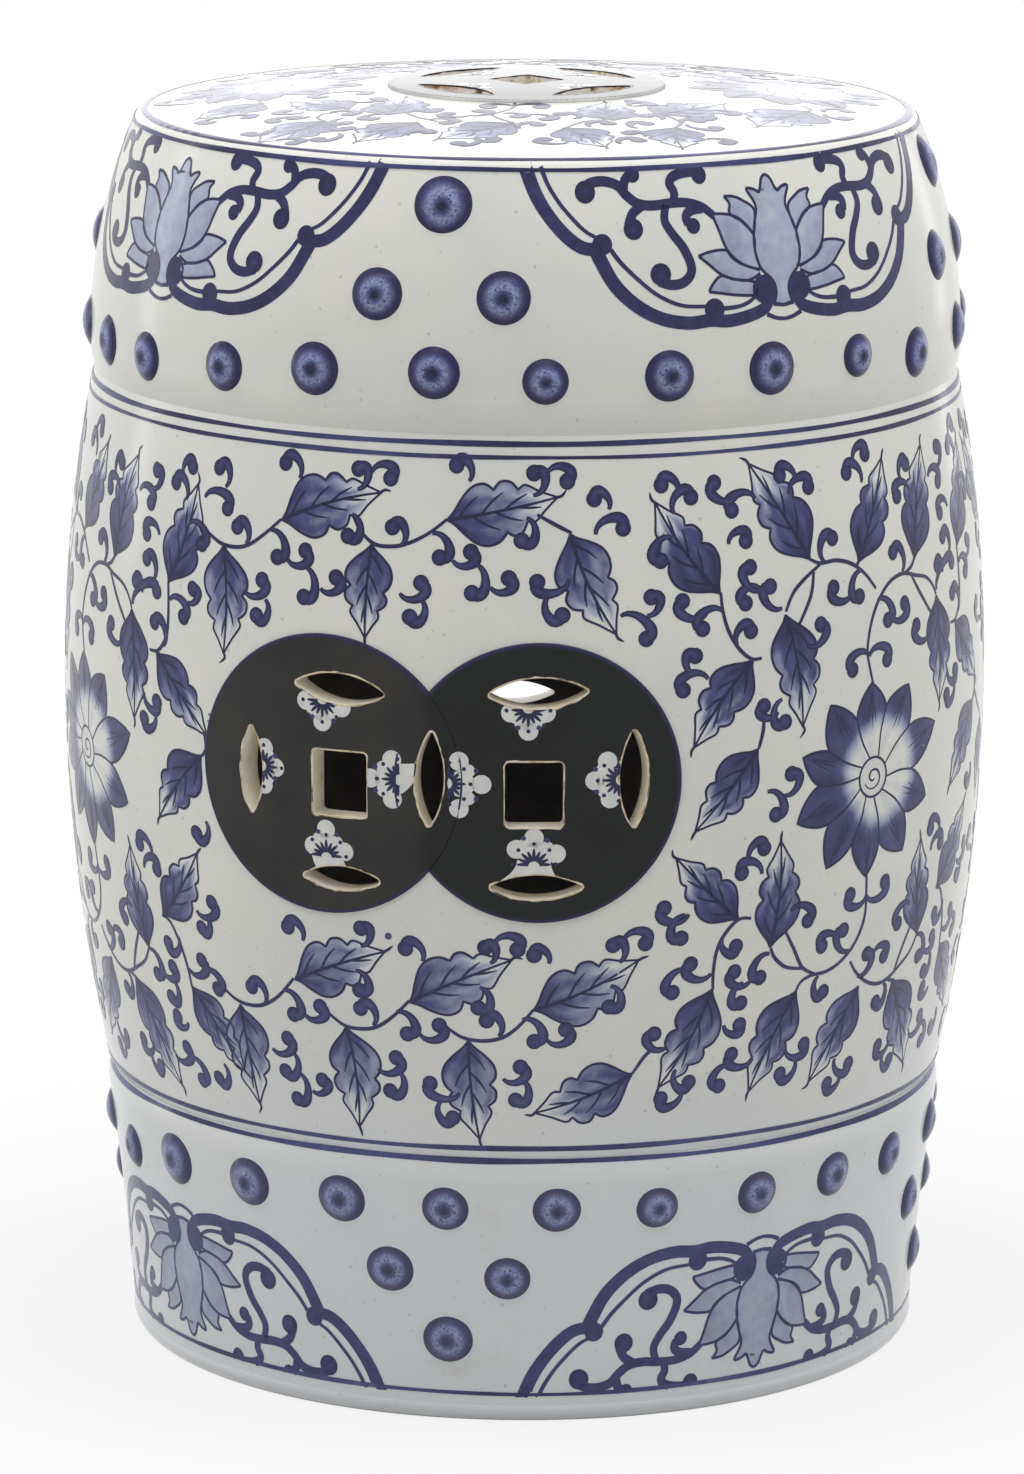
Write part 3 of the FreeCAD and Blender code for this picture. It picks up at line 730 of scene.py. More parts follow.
PANEL_STEMS = [
    [(58.2, 256), (57.3, 266), (57.5, 272), (58.4, 279), (60, 285.5), (62.3, 290.2),
     (65, 291.6), (67.6, 289.8), (70.2, 288), (71.8, 284.5), (72.6, 280.8)],
    [(65.3, 291.6), (66.8, 293.2), (67.8, 296)],
    [(66.8, 290), (68.9, 282), (71.4, 274)],
    [(59.3, 288.8), (57.4, 294.6), (55.2, 298.8), (52.6, 300.9), (50, 300.8), (48.3, 302.8)],
    [(50.2, 300.8), (47.6, 296.6), (45.6, 292), (44.4, 286)],
    [(48.9, 298.2), (48.2, 290), (46.2, 280.5)],
    [(56.4, 299), (56, 297.8)],
    [(35.5, 294.8), (35.7, 288.5), (36.4, 281.5), (37.8, 275), (39.4, 271.3), (40.8, 271.2)],
    [(41, 251), (40.9, 246), (40.3, 240)],
    [(58, 190), (58.3, 181), (58.3, 173), (57.2, 165.5), (55, 159.5), (52.4, 156.4),
     (49.8, 156), (48.2, 154.3), (47.5, 151)],
    [(50.4, 156.2), (48.2, 159.6), (46.6, 167), (45, 174.5)],
    [(48.2, 159.2), (45.6, 160.8), (43.8, 164.8), (43.1, 168.6)],
    [(40, 180.4), (38.4, 180.6), (36.8, 177), (35.6, 171), (35.2, 163), (35.3, 156)],
    [(56.4, 158), (57.6, 153.8), (59.6, 149.4), (62, 146.9), (64.4, 147.2), (67, 150.6),
     (69.4, 154.6), (70.8, 160)],
    [(64.4, 147.2), (65.9, 146)],
    [(66, 149.6), (67.2, 157), (69, 165.6)],
    [(75, 174.6), (76.6, 173), (78, 166), (78.8, 158), (79, 151.5)],
    [(76.6, 268.8), (78.4, 269.6), (80, 275.5), (80.4, 284), (80.3, 294)],
    [(86.2, 246), (86.4, 240), (85.6, 237)],
    [(86.4, 240), (88.2, 234.5), (91.2, 228)],
]
COIN_PANEL_STEMS = [
    [(-33, 311), (-31.2, 309.2), (-29, 306.4), (-26.8, 305.8), (-24.6, 307.2), (-22.2, 311.8),
     (-20, 317.2)],
    [(-10.2, 321), (-9, 315.6), (-7.2, 311.8), (-5.2, 311.3), (-3.2, 312.4), (-0.6, 316),
     (1.8, 321.2)],
    [(12.8, 323.2), (15.2, 319.6), (17, 317)],
    [(-29.4, 149.8), (-27.6, 146.6), (-25.4, 145.3), (-23, 146.4), (-20.6, 150.6), (-18.2, 157.8)],
    [(-13.5, 146.6), (-11.5, 143), (-9.4, 142.3), (-7.2, 143.5), (-5, 147.8), (-2.8, 154)],
    [(1.7, 145.4), (3.8, 141.6), (6.4, 140.6), (8.8, 142), (10.8, 146.2), (12.6, 152.2)],
    [(25.2, 127.6), (27.3, 135.4), (29.4, 136.2)],
]
# Each curl: bearing and height of its root, then of its head, and the side it bows to
PANEL_CURLS = [
    (30.4, 328, 28.3, 332, -1), (29.8, 322.3, 32.1, 327.4, 1), (29.5, 314.3, 27.9, 306.8, -1),
    (36.8, 310.8, 39.2, 311.4, 1), (38.4, 326.6, 35.3, 331.6, 1), (40.9, 325.2, 37.5, 322, -1),
    (47, 329.5, 44.7, 332, -1), (45.9, 325.4, 49, 327, 1), (58.2, 325.5, 55.6, 329.7, -1),
    (57, 333, 59.4, 334.8, 1), (50.7, 301, 52.2, 308.6, 1), (55, 289.3, 51.9, 291.8, 1),
    (56.9, 296, 56.2, 287.2, -1), (43.9, 287.4, 42.3, 295.2, 1), (41.2, 294.4, 39.6, 302.4, 1),
    (41, 294.4, 38.8, 290.4, -1), (37.5, 276.6, 39.4, 280.8, 1), (33.6, 288.2, 30.5, 292.8, 1),
    (35.7, 288.4, 33, 283, -1), (31.8, 268, 32, 274, 1), (33.6, 265.8, 30.4, 262.6, -1),
    (47.4, 273.6, 49.6, 280, -1), (43, 252, 41, 254.6, 1), (43.6, 256.2, 44, 248.2, -1),
    (44, 222.6, 45, 229.8, -1), (41.6, 224.6, 42.9, 216.2, 1), (57.6, 266, 54.6, 262.4, -1),
    (57.6, 266, 60.9, 263.4, 1), (59.5, 284.6, 61.3, 277, 1), (61.9, 278.4, 64.9, 281.2, -1),
    (64.8, 292.4, 63.1, 299.7, -1), (67.9, 319.2, 65, 318.2, -1), (66.3, 323.6, 67.8, 328.2, 1),
    (73.2, 321.6, 76, 318.8, 1), (76.2, 324, 76.8, 330.4, -1), (78.2, 309, 75.5, 308, -1),
    (74.8, 287.6, 73.4, 290.6, -1), (72.8, 282.3, 78, 289.6, 1), (77.2, 293, 75.7, 299.6, -1),
    (70.2, 268.2, 67.3, 272.4, 1), (79.4, 271.6, 77.6, 278.8, -1), (75.2, 253.2, 77.8, 251.4, -1),
    (77.4, 247.4, 75, 244, 1), (84, 316, 86.3, 310, 1), (83.2, 323.5, 81, 328.3, -1),
    (82.3, 332, 84, 335, 1), (80.6, 288.2, 83.2, 283.6, 1), (84, 289, 84.9, 294, -1),
    (31.6, 184.2, 28.4, 187, 1), (31.2, 184, 30.7, 175.8, -1), (41.2, 195.8, 38.4, 197, -1),
    (39.4, 201, 41.4, 204.8, 1), (45.7, 180.8, 48.5, 176.4, 1), (36.2, 174.4, 38.1, 170.9, -1),
    (34.9, 162, 32.1, 166.2, 1), (31.8, 164, 29.9, 156.4, -1), (43, 166.6, 41.8, 158.4, -1),
    (40.6, 158, 38.1, 161.7, 1), (39.5, 157.2, 39.3, 150, -1), (53.6, 167, 51.1, 166, -1),
    (55.9, 162.3, 54.6, 170.2, 1), (58.3, 181, 55.3, 182.6, 1), (58.3, 181, 61.8, 184.2, -1),
    (51, 155.2, 52.1, 149, -1), (58.1, 151.8, 59.5, 159.2, -1), (60.8, 158.4, 63.2, 156.4, 1),
    (29.4, 136.2, 27.8, 141.8, 1), (37.2, 142.6, 39.4, 142, -1), (31, 128, 32.9, 122.8, -1),
    (32, 120.2, 29.2, 117.6, 1), (41.8, 128.9, 38.6, 131.4, 1), (38.7, 127.2, 37.2, 120.2, -1),
    (46.8, 130.2, 49.8, 130.8, -1), (48.6, 126, 46.4, 121.2, 1), (55.8, 122.6, 58.7, 119.2, -1),
    (57.3, 116.6, 55, 113.6, 1), (68, 172.8, 65.5, 167, -1), (72.3, 189.6, 75.1, 190.8, 1),
    (74.4, 195.4, 71.8, 197.8, -1), (77.8, 168.6, 75.5, 164.8, 1), (71, 159.8, 72, 151.3, 1),
    (73.3, 153.8, 75.7, 156.3, -1), (75.2, 151.6, 74.3, 144.5, 1), (79, 157.8, 81.7, 162.5, -1),
    (81.9, 158.8, 83.9, 153.4, 1), (82.6, 125.5, 81.2, 119.4, 1), (77, 137, 74.9, 138, 1),
    (72.7, 122.6, 75.7, 127, -1), (76.2, 123.6, 77.7, 116.4, 1), (67.4, 123, 64.7, 122.5, 1),
    (66.4, 119, 68.3, 115.2, -1), (63.9, 146.2, 62.6, 139.8, 1), (82, 180.6, 84.9, 185, -1),
    (83.6, 180, 82.6, 174.6, 1), (85.4, 214, 83.6, 208.8, 1),
]
COIN_PANEL_CURLS = [
    (-29, 325.4, -30.3, 331.6, -1), (-32.3, 320.8, -28.3, 318.4, 1), (-25, 307.4, -26.5, 312.8, -1),
    (-17.8, 331.5, -20, 336.2, -1), (-9.8, 329.6, -9.8, 336.4, -1), (-8, 335.6, -5.5, 334, 1),
    (-10.3, 321.2, -10.7, 313.8, 1), (-3.8, 312, -5, 317.8, -1), (-21.4, 313.2, -20.2, 304.4, 1),
    (-18.8, 304.5, -16.3, 307.6, -1), (-16.3, 302.2, -16.2, 292, 1), (-14, 295.4, -12, 299.6, -1),
    (-24.8, 291.8, -22.2, 296, -1), (-21.6, 289.6, -22.8, 283.8, 1), (-3.8, 295.8, -1.2, 299.6, -1),
    (-1.2, 294.2, -2.5, 288, 1), (0, 316.4, 1, 308.4, 1), (2.6, 307.6, 4.8, 310.6, -1),
    (5.3, 306.6, 5, 296.8, 1), (7.2, 299, 9.4, 302, -1), (4.4, 334, 2.8, 339.2, -1),
    (12.3, 329.6, 12.4, 337, -1), (14, 336.8, 16.5, 334.2, 1), (11.5, 322.2, 10.9, 314.6, 1),
    (21.6, 324.6, 19.8, 328.2, -1), (19.9, 316.4, 23.3, 318.2, 1), (16.6, 301.6, 12.8, 300.8, 1),
    (14.3, 296.4, 15.8, 289.6, -1), (26, 288.6, 26.6, 294.8, -1), (22.8, 288.8, 25.9, 280.8, 1),
    (-16.6, 172, -18.6, 176.3, -1), (-8.8, 172.4, -8.7, 178.8, -1), (-9.6, 163.4, -9.2, 156.4, 1),
    (-7.6, 144, -9.2, 149.8, -1), (-22.8, 147, -24.7, 152.2, -1), (-19.8, 153, -18.6, 144.6, 1),
    (-17, 145.4, -14.7, 148.8, -1), (-4.5, 149.6, -3.2, 141.9, 1), (-1.6, 142.1, 0.9, 145.7, -1),
    (6, 160, 5.8, 152.6, 1), (8.3, 142.4, 6.8, 148, -1), (11.2, 148.6, 12.7, 140.6, 1),
    (14.3, 141.1, 16.6, 144.8, -1), (-1, 168.6, -3.1, 172.8, -1), (7.3, 168.8, 6.7, 174.4, -1),
    (7.8, 175.8, 10.6, 173.8, 1), (14.4, 168.8, 12.6, 171.8, -1), (23, 168.6, 22.2, 174.8, -1),
    (23.4, 176, 26.2, 174.8, 1), (22, 160.2, 21.9, 152.6, 1), (-22.3, 130.6, -19.8, 135.3, -1),
    (-19.2, 130.4, -20.6, 123, 1), (-18.6, 123, -19.2, 113.2, 1), (-16.8, 117, -15.2, 121.6, -1),
    (-7.3, 128.2, -4.8, 132.8, -1), (-4.7, 128, -5.8, 120.4, 1), (3.3, 121.2, -0.5, 124.2, 1),
    (0.8, 117.6, 2.3, 111.8, -1), (8.8, 126.8, 11, 131.2, -1), (10.9, 126.8, 10.4, 119, 1),
]


# The belly's panels: two of leaves round the coins, four of a flower among leaves

FLOWER = (58.35, 223.3)
FLOWER_TIPS = [
    (92, 33.2), (126.8, 35.2), (160.8, 35), (198.3, 36.7), (234.2, 36.1), (267.9, 35.3),
    (303, 35), (339.3, 34.8), (379.4, 39.7), (416.4, 35.4)]
FLOWER_NOTCHES = [
    (112.3, 23), (150.6, 24.8), (178.5, 26), (212.7, 25), (247, 24.2), (281, 24.3),
    (320, 24), (358, 21.9), (397, 24.3), (435, 25)]
FLOWER_EYE = 7.0
LEFT_FLOWER = (-57.8, 221.4)
PETAL_ROWS = 12
PETAL_HALF = 4


def petal_tone(angle, radius):
    """White round the eye, turning blue further out, sooner on the left."""
    edge = 13.0 + 5.0 * math.cos(math.radians(angle - 20.0))
    t = clamp((radius - edge) / 10.0)
    return 0.05 + 0.72 * t * t * (3 - 2 * t)


def petal(wash, ink, centre, number):
    tip_angle, tip = FLOWER_TIPS[number]
    left_angle, left = FLOWER_NOTCHES[number - 1]
    right_angle, right = FLOWER_NOTCHES[number]
    if number == 0:
        left_angle -= 360.0

    def edge(s):
        """Angle and reach of the outline: s is -1 at one notch, 0 at the tip, 1 at the other."""
        side_angle, side = (right_angle, right) if s > 0 else (left_angle, left)
        return mix(tip_angle, side_angle, abs(s)), mix(side, tip, (1 - abs(s)) ** 0.8)

    rows, tones = [], []
    places = range(-PETAL_HALF, PETAL_HALF + 1)
    for r in range(PETAL_ROWS + 1):
        row = [edge(j / PETAL_HALF) for j in places]
        row = [(angle, mix(FLOWER_EYE, reach, r / PETAL_ROWS)) for angle, reach in row]
        rows.append([polar(centre, *spot) for spot in row])
        tones.append([
            petal_tone(*spot) + 0.05 * math.sin(number * 2.1 + j) for j, spot in zip(places, row)])
    wash.grid(rows, tones)
    stroke(ink, [polar(centre, *edge(j / 6)) for j in range(-6, 7)], LINE)
    inner = polar(centre, right_angle - 6.0, FLOWER_EYE)
    bend = polar(centre, right_angle + 2.0, mix(FLOWER_EYE, right, 0.5))
    stroke(ink, smooth([inner, bend, polar(centre, right_angle, right)]), LINE * 0.9, taper=(0.8, 1.0))
    for shift, start in ((-0.30, 0.62), (0.02, 0.52), (0.32, 0.66)):
        angle = mix(tip_angle, right_angle if shift > 0 else left_angle, abs(shift))
        reach = mix(right, tip, (1 - abs(shift)) ** 0.8)
        vein = [polar(centre, angle, reach * start), polar(centre, tip_angle + 3 * shift, reach * 0.94)]
        stroke(ink, smooth(vein), LINE * 0.7, 0.9, taper=(0.3, 0.7))


def flower(wash, ink, centre):
    for number in range(len(FLOWER_TIPS)):
        petal(wash, ink, centre, number)
    disc(wash, centre, FLOWER_EYE, 0.03, 0.08, 28)
    stroke(ink, [polar(centre, 360.0 * i / 40, FLOWER_EYE) for i in range(41)], LINE)
    spiral = [polar(centre, 205.0 + 470.0 * i / 30, 4.6 - 3.8 * i / 30) for i in range(31)]
    stroke(ink, spiral, LINE * 0.9, taper=(0.5, 0.8))


# Drops that fell from the brush
BLOTS = [(-5.2, 176.8, 1.3), (-8.1, 178.6, 0.7), (-29.6, 247, 0.5), (-29.8, 244.6, 0.45)]


# A leaf and curls that fill the gap between two flower panels, at each side of the stool
SIDE_LEAVES = [(91.4, 227.5, 90.6, 199)]
SIDE_CURLS = [
    (90.8, 262, 92.8, 256, 1),
    (90.4, 264, 88.4, 270, 1), (90.6, 181, 88.4, 187, 1), (91, 178, 93, 171, 1),
    (90.6, 150, 92.4, 157, -1), (90.2, 147, 88.6, 140, -1), (91, 120, 89.2, 113, -1)]


# Width and added blue of the leaves: round the coins, round the flowers and on the seat
COIN_PANEL_LEAF = (1.0, 0.0)
PANEL_LEAF = (0.9, 0.10)
SEAT_LEAF = (1.3, 0.06)
SEAT_CURL_SIZE = 1.1


def foliage(layers, leaves, stems, curls, spot, look, size=1.0):
    """Leaves, stems and curls. The function spot turns a table's numbers into the drawing's."""
    wash, ink, fill = layers
    for number, (a, b, c, d) in enumerate(leaves):
        leaf(wash, ink, spot(a, b), spot(c, d), number, *look)
    for stem in stems:
        stroke(ink, smooth([spot(*p) for p in stem], 5), STEM_WIDTH, 0.86, (0.75, 0.75))
    for a, b, c, d, side in curls:
        curl(ink, fill, spot(a, b), spot(c, d), side, size)


def lay_all(name, place, move, **layers):
    for end, layer in layers.items():
        lay("%s_%s" % (name, end), layer, place, move)


def panel(name, drawing, place, move):
    """A field of leaves with a flower in it or, round the coins, with a few blots."""
    leaves, stems, curls, centre = drawing
    wash, ink, fill = Layer(WASH_LIFT), Layer(INK_LIFT), Layer(CURL_LIFT)

    def spot(bearing, height):
        return (bearing * BELLY_MM_PER_DEGREE, height)

    look = PANEL_LEAF if centre else COIN_PANEL_LEAF
    foliage((wash, ink, fill), leaves, stems, curls, spot, look)
    if centre:
        flower(wash, ink, spot(*centre))
    else:
        for bearing, height, radius in BLOTS:
            disc(ink, spot(bearing, height), radius, 0.75, 0.6, 9)
    lay_all(name, place, move, wash=wash, ink=ink, curls=fill)


def decorate_belly():
    place = on_wall(tree_of("belly_wall"), BELLY_MM_PER_DEGREE)
    middle = FLOWER[0] * BELLY_MM_PER_DEGREE

    def left(x, y):
        dx, dy = x - middle, y - FLOWER[1]
        return LEFT_FLOWER[0] * BELLY_MM_PER_DEGREE + dx - 0.075 * dy, LEFT_FLOWER[1] + dy - 0.04 * dx

    def behind(move):
        def moved(x, y):
            x, y = move(x, y)
            return x + 180.0 * BELLY_MM_PER_DEGREE, y
        return moved

    coins = (COIN_PANEL_LEAVES, COIN_PANEL_STEMS, COIN_PANEL_CURLS, None)
    plain = (PANEL_LEAVES, PANEL_STEMS, PANEL_CURLS, FLOWER)
    filled = (PANEL_LEAVES + SIDE_LEAVES, PANEL_STEMS, PANEL_CURLS + SIDE_CURLS, FLOWER)
    panel("coin_panel_front", coins, place, stay)
    panel("coin_panel_back", coins, place, behind(stay))
    panel("flower_panel_right", filled, place, stay)
    panel("flower_panel_left", plain, place, left)
    panel("flower_panel_back_left", filled, place, behind(stay))
    panel("flower_panel_back_right", plain, place, behind(left))


# Painted rings: radius and height on the drawing, how far the surface leans back there, in
# degrees, and the width of the line

RINGS = [
    ("ring_seat_edge", ("upper_band", "seat_slab"), 134.5, 439.6, 45, 2.2),
    ("ring_rim", ("upper_band",), 138.6, 437.2, 40, 1.6),
    ("ring_upper_groove", ("belly_wall",), 154.2, 346.3, 0, 1.6),
    ("ring_belly_top", ("belly_wall",), 154.8, 342, 0, 1.4),
    ("ring_belly_foot", ("belly_wall",), 150.5, 100.6, 0, 1.7),
    ("ring_lower_shoulder", ("lower_band",), 149.6, 96, 20, 1.8),
    ("ring_base", ("lower_band",), 142.6, 10.2, 0, 1.5),
]
RING_STEPS = 480


def ring(name, parts, radius, height, tilt, width):
    """A line that was drawn on the turning stool, so it goes right round and wavers a little."""
    tree = tree_of(*parts)
    layer = Layer(RING_LIFT)
    tilt = math.radians(tilt)
    rows, tones = [], []
    for i in range(RING_STEPS + 1):
        bearing = 360.0 * i / RING_STEPS
        a = math.radians(bearing)
        waver = 0.16 * math.sin(3 * a + height) + 0.08 * math.sin(11 * a + 2 * height)
        half = width / 2 * (1 + 0.16 * math.sin(5 * a + height) + 0.10 * math.sin(17 * a))
        rows.append([(bearing, waver + half * k / 2) for k in range(-2, 3)])
        tones.append([0.80 + 0.10 * math.sin(7 * a)] * 5)
    layer.grid(rows, tones)

    def place(x, y, lift):
        out, up = radial(x), Vector((0.0, 0.0, 1.0))
        along = up * math.cos(tilt) - out * math.sin(tilt)
        face = out * math.cos(tilt) + up * math.sin(tilt)
        target = out * radius + up * height + along * y
        return onto(tree, (target + face * 20.0) * DRAWING_SCALE * MM, -face, lift)

    lay(name, layer, place)


# The lappets: half of one, as bearing and height, which is mirrored about its axis

LAPPET_AXIS = 46.3
LAPPET_FOOT = 385.5
LOWER_LAPPET_TOP = 60.5
LOWER_LAPPET_STRETCH = 1.023
LAPPET_AXES = (46.3, -44, 226.3, 136)
HEAVY_BAND = [
    ([(11.1, 438.2), (12.6, 429), (14.5, 421.5), (16.7, 415.3), (18.7, 411.8), (20.6, 411.2)], 4.2),
    ([(20.4, 411), (21, 407.5), (22.8, 399.2), (25.6, 392.2), (28.85, 387.7), (32.4, 385.9),
      (35.4, 386.4), (38.1, 385.8), (41.4, 387.2), (43.5, 389.4), (44.2, 393)], 4.1),
]
THIN_BAND = [
    [(13.3, 438), (14.3, 432), (16, 425.5), (18, 419.8), (19.3, 416.8), (20.5, 415.1)],
    [(22.4, 411), (23.6, 406.8), (25.5, 401.8), (27.8, 396.6), (30, 393.3), (32, 391.6), (34.8, 391.1)],
    [(37.2, 390), (39.4, 390.3), (41, 391.5), (42.2, 393.4)],
    [(43.6, 386.9), (45, 385.4), (46.3, 384.9)],
    [(44.7, 390.2), (46.3, 389.5)],
]
KNOBS = [(21.3, 412.7, 3.5), (36, 389.9, 3.7), (43.5, 395.3, 4.8)]
SCROLLS = [
    [(37.2, 420.4), (35.6, 423.6), (33.5, 425.2), (31, 425.3), (28.5, 424.8), (26.5, 425.6), (25, 428.3),
     (23.8, 431.6), (22, 433), (20.2, 432.6), (19, 430.8)],
    [(24.7, 429.8), (24.9, 433), (26, 435.6)],
    [(31.4, 425), (31.8, 428.5), (31.3, 431.5), (31.8, 433.6), (33.3, 434.8), (35.2, 435.2)],
    [(27.2, 424.9), (25.7, 422.6), (25, 418.6)],
    [(35.6, 423), (33.9, 422.6), (33.1, 420.8), (33.4, 418.2)],
    [(30.4, 424.8), (30, 420), (30.9, 415.5), (32.2, 411), (33.1, 405.5), (33, 402),
     (31.9, 399.4), (30.3, 398.8), (28.6, 400.2)],
]
SCROLL_HEADS = [
    (19.3, 429.7, 3.7), (26.1, 434.9, 2.6), (35.8, 433.9, 3), (25.6, 417.4, 3.5), (34, 417.6, 2.6),
    (28.9, 402.4, 3.7)]
PETALS = [
    ([(39.1, 426.5), (40.6, 426.2), (42, 424.6), (43.4, 421.9), (43.3, 417.5), (42.8, 413.4)],
     [(39.1, 426.5), (39.8, 424), (39.6, 420.9), (41.1, 418.3), (42.1, 415.8), (42.8, 413.4)]),
    ([(36.9, 421.1), (38.5, 420.9), (40, 420.1), (41.4, 418), (42.8, 413.3), (42.7, 408), (43.2, 402.2)],
     [(36.9, 421.1), (37.6, 416), (38.2, 411), (39, 407.5), (40.4, 404.4), (41.8, 402.8), (43.2, 401.9)]),
    ([(34.3, 407.7), (36, 408.9), (38.3, 409.1), (39, 406.8), (40.4, 404.2), (43.1, 401.7)],
     [(34.3, 407.7), (35.8, 404.5), (37.3, 401.3), (39.2, 399.4), (41.3, 398.7), (43.1, 400.6)]),
    ([(35.4, 395.8), (36, 398.3), (37.3, 400.8), (39, 399.4), (41.2, 398.6), (42.4, 397.6)],
     [(35.4, 395.8), (37.3, 395), (39.4, 394.1), (41.8, 393.7), (42.4, 395.6)]),
]
MIDDLE_PETAL = [
    (44.8, 390), (45.3, 394), (44.9, 398), (43.5, 401.5), (42.8, 405.5), (42.7, 411), (43.1, 416.5),
    (43.8, 421.5), (43.6, 424.5), (42.8, 428.3), (43.9, 428.1), (44.7, 427), (45.1, 428.4), (45.6, 431.3),
    (46.3, 432.5)]
# How strong the blue of the petals is
UPPER_PETALS = 0.34
LOWER_PETALS = 0.41
# Widths of its lines: the heavy band varies with its table, and is drawn a little wider
HEAVY_SPREAD = 1.08
THIN_LINE = 1.35
SCROLL_LINE = 3.3
PETAL_LINE = 1.0
MIDDLE_LINE = 1.05


def even(line, count):
    """A line's points, spread evenly along its length."""
    lengths = [0.0]
    for a, b in zip(line, line[1:]):
        lengths.append(lengths[-1] + math.hypot(b[0] - a[0], b[1] - a[1]))
    out = []
    i = 0
    for k in range(count):
        goal = lengths[-1] * k / (count - 1)
        while i < len(line) - 2 and lengths[i + 1] < goal:
            i += 1
        t = (goal - lengths[i]) / ((lengths[i + 1] - lengths[i]) or 1.0)
        out.append(between(line[i], line[i + 1], t))
    return out


def patch(layer, one_side, other_side, tone_at, along, across):
    """Fills the space between two lines that start and end together."""
    rows, tones = [], []
    for i, (a, b) in enumerate(zip(even(one_side, along), even(other_side, along))):
        rows.append([between(a, b, j / across) for j in range(across + 1)])
        tones.append([tone_at(i / (along - 1), j / across) for j in range(across + 1)])
    layer.grid(rows, tones)


def lappet(fill, ink, sign, wash):
    """Half of a lappet, to one side of its axis; wash is how strong its petals are."""
    def spot(bearing, height):
        return ((bearing - LAPPET_AXIS) * BAND_MM_PER_DEGREE * sign, height)

    def line(points, steps=5):
        return smooth([spot(*p) for p in points], steps)

    for points, width in HEAVY_BAND:
        stroke(ink, line(points), width * HEAVY_SPREAD, 0.82, (1.12, 0.92))
    for points in THIN_BAND:
        stroke(ink, line(points), THIN_LINE, 0.82, (1.2, 0.9))
    for bearing, height, radius in KNOBS:
        disc(ink, spot(bearing, height), radius, 0.88, 0.84, 20)
    for points in SCROLLS:
        stroke(ink, line(points, 6), SCROLL_LINE, 0.84, (0.85, 1.05))
    for bearing, height, radius in SCROLL_HEADS:
        disc(ink, spot(bearing, height), radius, 0.80, 0.93, 20)
    for top, bottom in PETALS:
        upper, lower = line(top, 4), line(bottom, 4)
        patch(fill, upper, lower, lambda t, s: wash - 0.02 + 0.08 * s - 0.05 * t, 12, 4)
        stroke(ink, upper, PETAL_LINE, 0.88)
        stroke(ink, lower, PETAL_LINE, 0.88)
    edge = line(MIDDLE_PETAL, 4)
    patch(fill, edge, [(0.0, y) for _, y in edge], lambda t, s: wash - 0.06 * s, 40, 3)
    stroke(ink, edge, MIDDLE_LINE, 0.88)


def decorate_bands():
    for band, wash in (("upper", UPPER_PETALS), ("lower", LOWER_PETALS)):
        place = on_wall(tree_of(band + "_band"), BAND_MM_PER_DEGREE)
        for number, axis in enumerate(LAPPET_AXES, 1):
            fill, ink = Layer(WASH_LIFT), Layer(INK_LIFT)
            for sign in (1, -1):
                lappet(fill, ink, sign, wash)

            def move(x, y, axis=axis, band=band):
                if band == "lower":
                    y = LOWER_LAPPET_TOP - (y - LAPPET_FOOT) * LOWER_LAPPET_STRETCH
                return x + axis * BAND_MM_PER_DEGREE, y

            lay_all("%s_lappet_%d" % (band, number), place, move, fill=fill, ink=ink)


# Half plum blossoms on the coins: bearing and height of the root, the way it points, how far its
# middle lobe and its two side lobes lie from the root, and the neck that some have

BLOSSOMS = {
    "left": [
        (-13.1, 258.4, -90, 8, (7, 2.6), (6.2, 1.2)),
        (-12.7, 203, 90, 10.1, (4.8, 3.9), (6.6, 2.8), (5, 3.2, 9.4)),
        (-21.4, 232.6, 0, 5.8, (6.4, 1.4), (6.4, 1.2)),
        (-3.3, 232.4, 180, 10.4, (6.8, 2.8), (6.8, 3), (5.4, -0.8, 6)),
    ],
    "right": [
        (11.8, 258.6, -90, 8, (5.8, 1.8), (5.8, 1.8)),
        (12.5, 203.4, 90, 10.1, (5.8, 6.2), (7.4, 4.6), (4.8, 11, 8.4)),
        (2.2, 232, 0, 11.8, (7.8, 4.2), (8.6, 4.2)),
        (22.8, 233.2, 180, 9, (6.4, 3.8), (6.6, 4.8)),
    ],
}
LOBE = 3.3
STAMENS = 9
ROOT_DISC = 2.3
INNER_LOBE = 2.3
HEART_LOBE = 4.6
NECK_HALF = 5.6
STAMEN_REACH = 5.6
# The seat coin's blossoms are smaller, and all alike, at this distance from its middle
SEAT_BLOSSOM = (8.0, (6.4, 2.6), (6.4, 2.6), None, 0.85)
SEAT_BLOSSOM_AWAY = 28.0
# How far round a coin's outline runs on over the other coin, in degrees each way
OVERLAP_DEGREES = 11
OVERLAP_LINE = 0.8


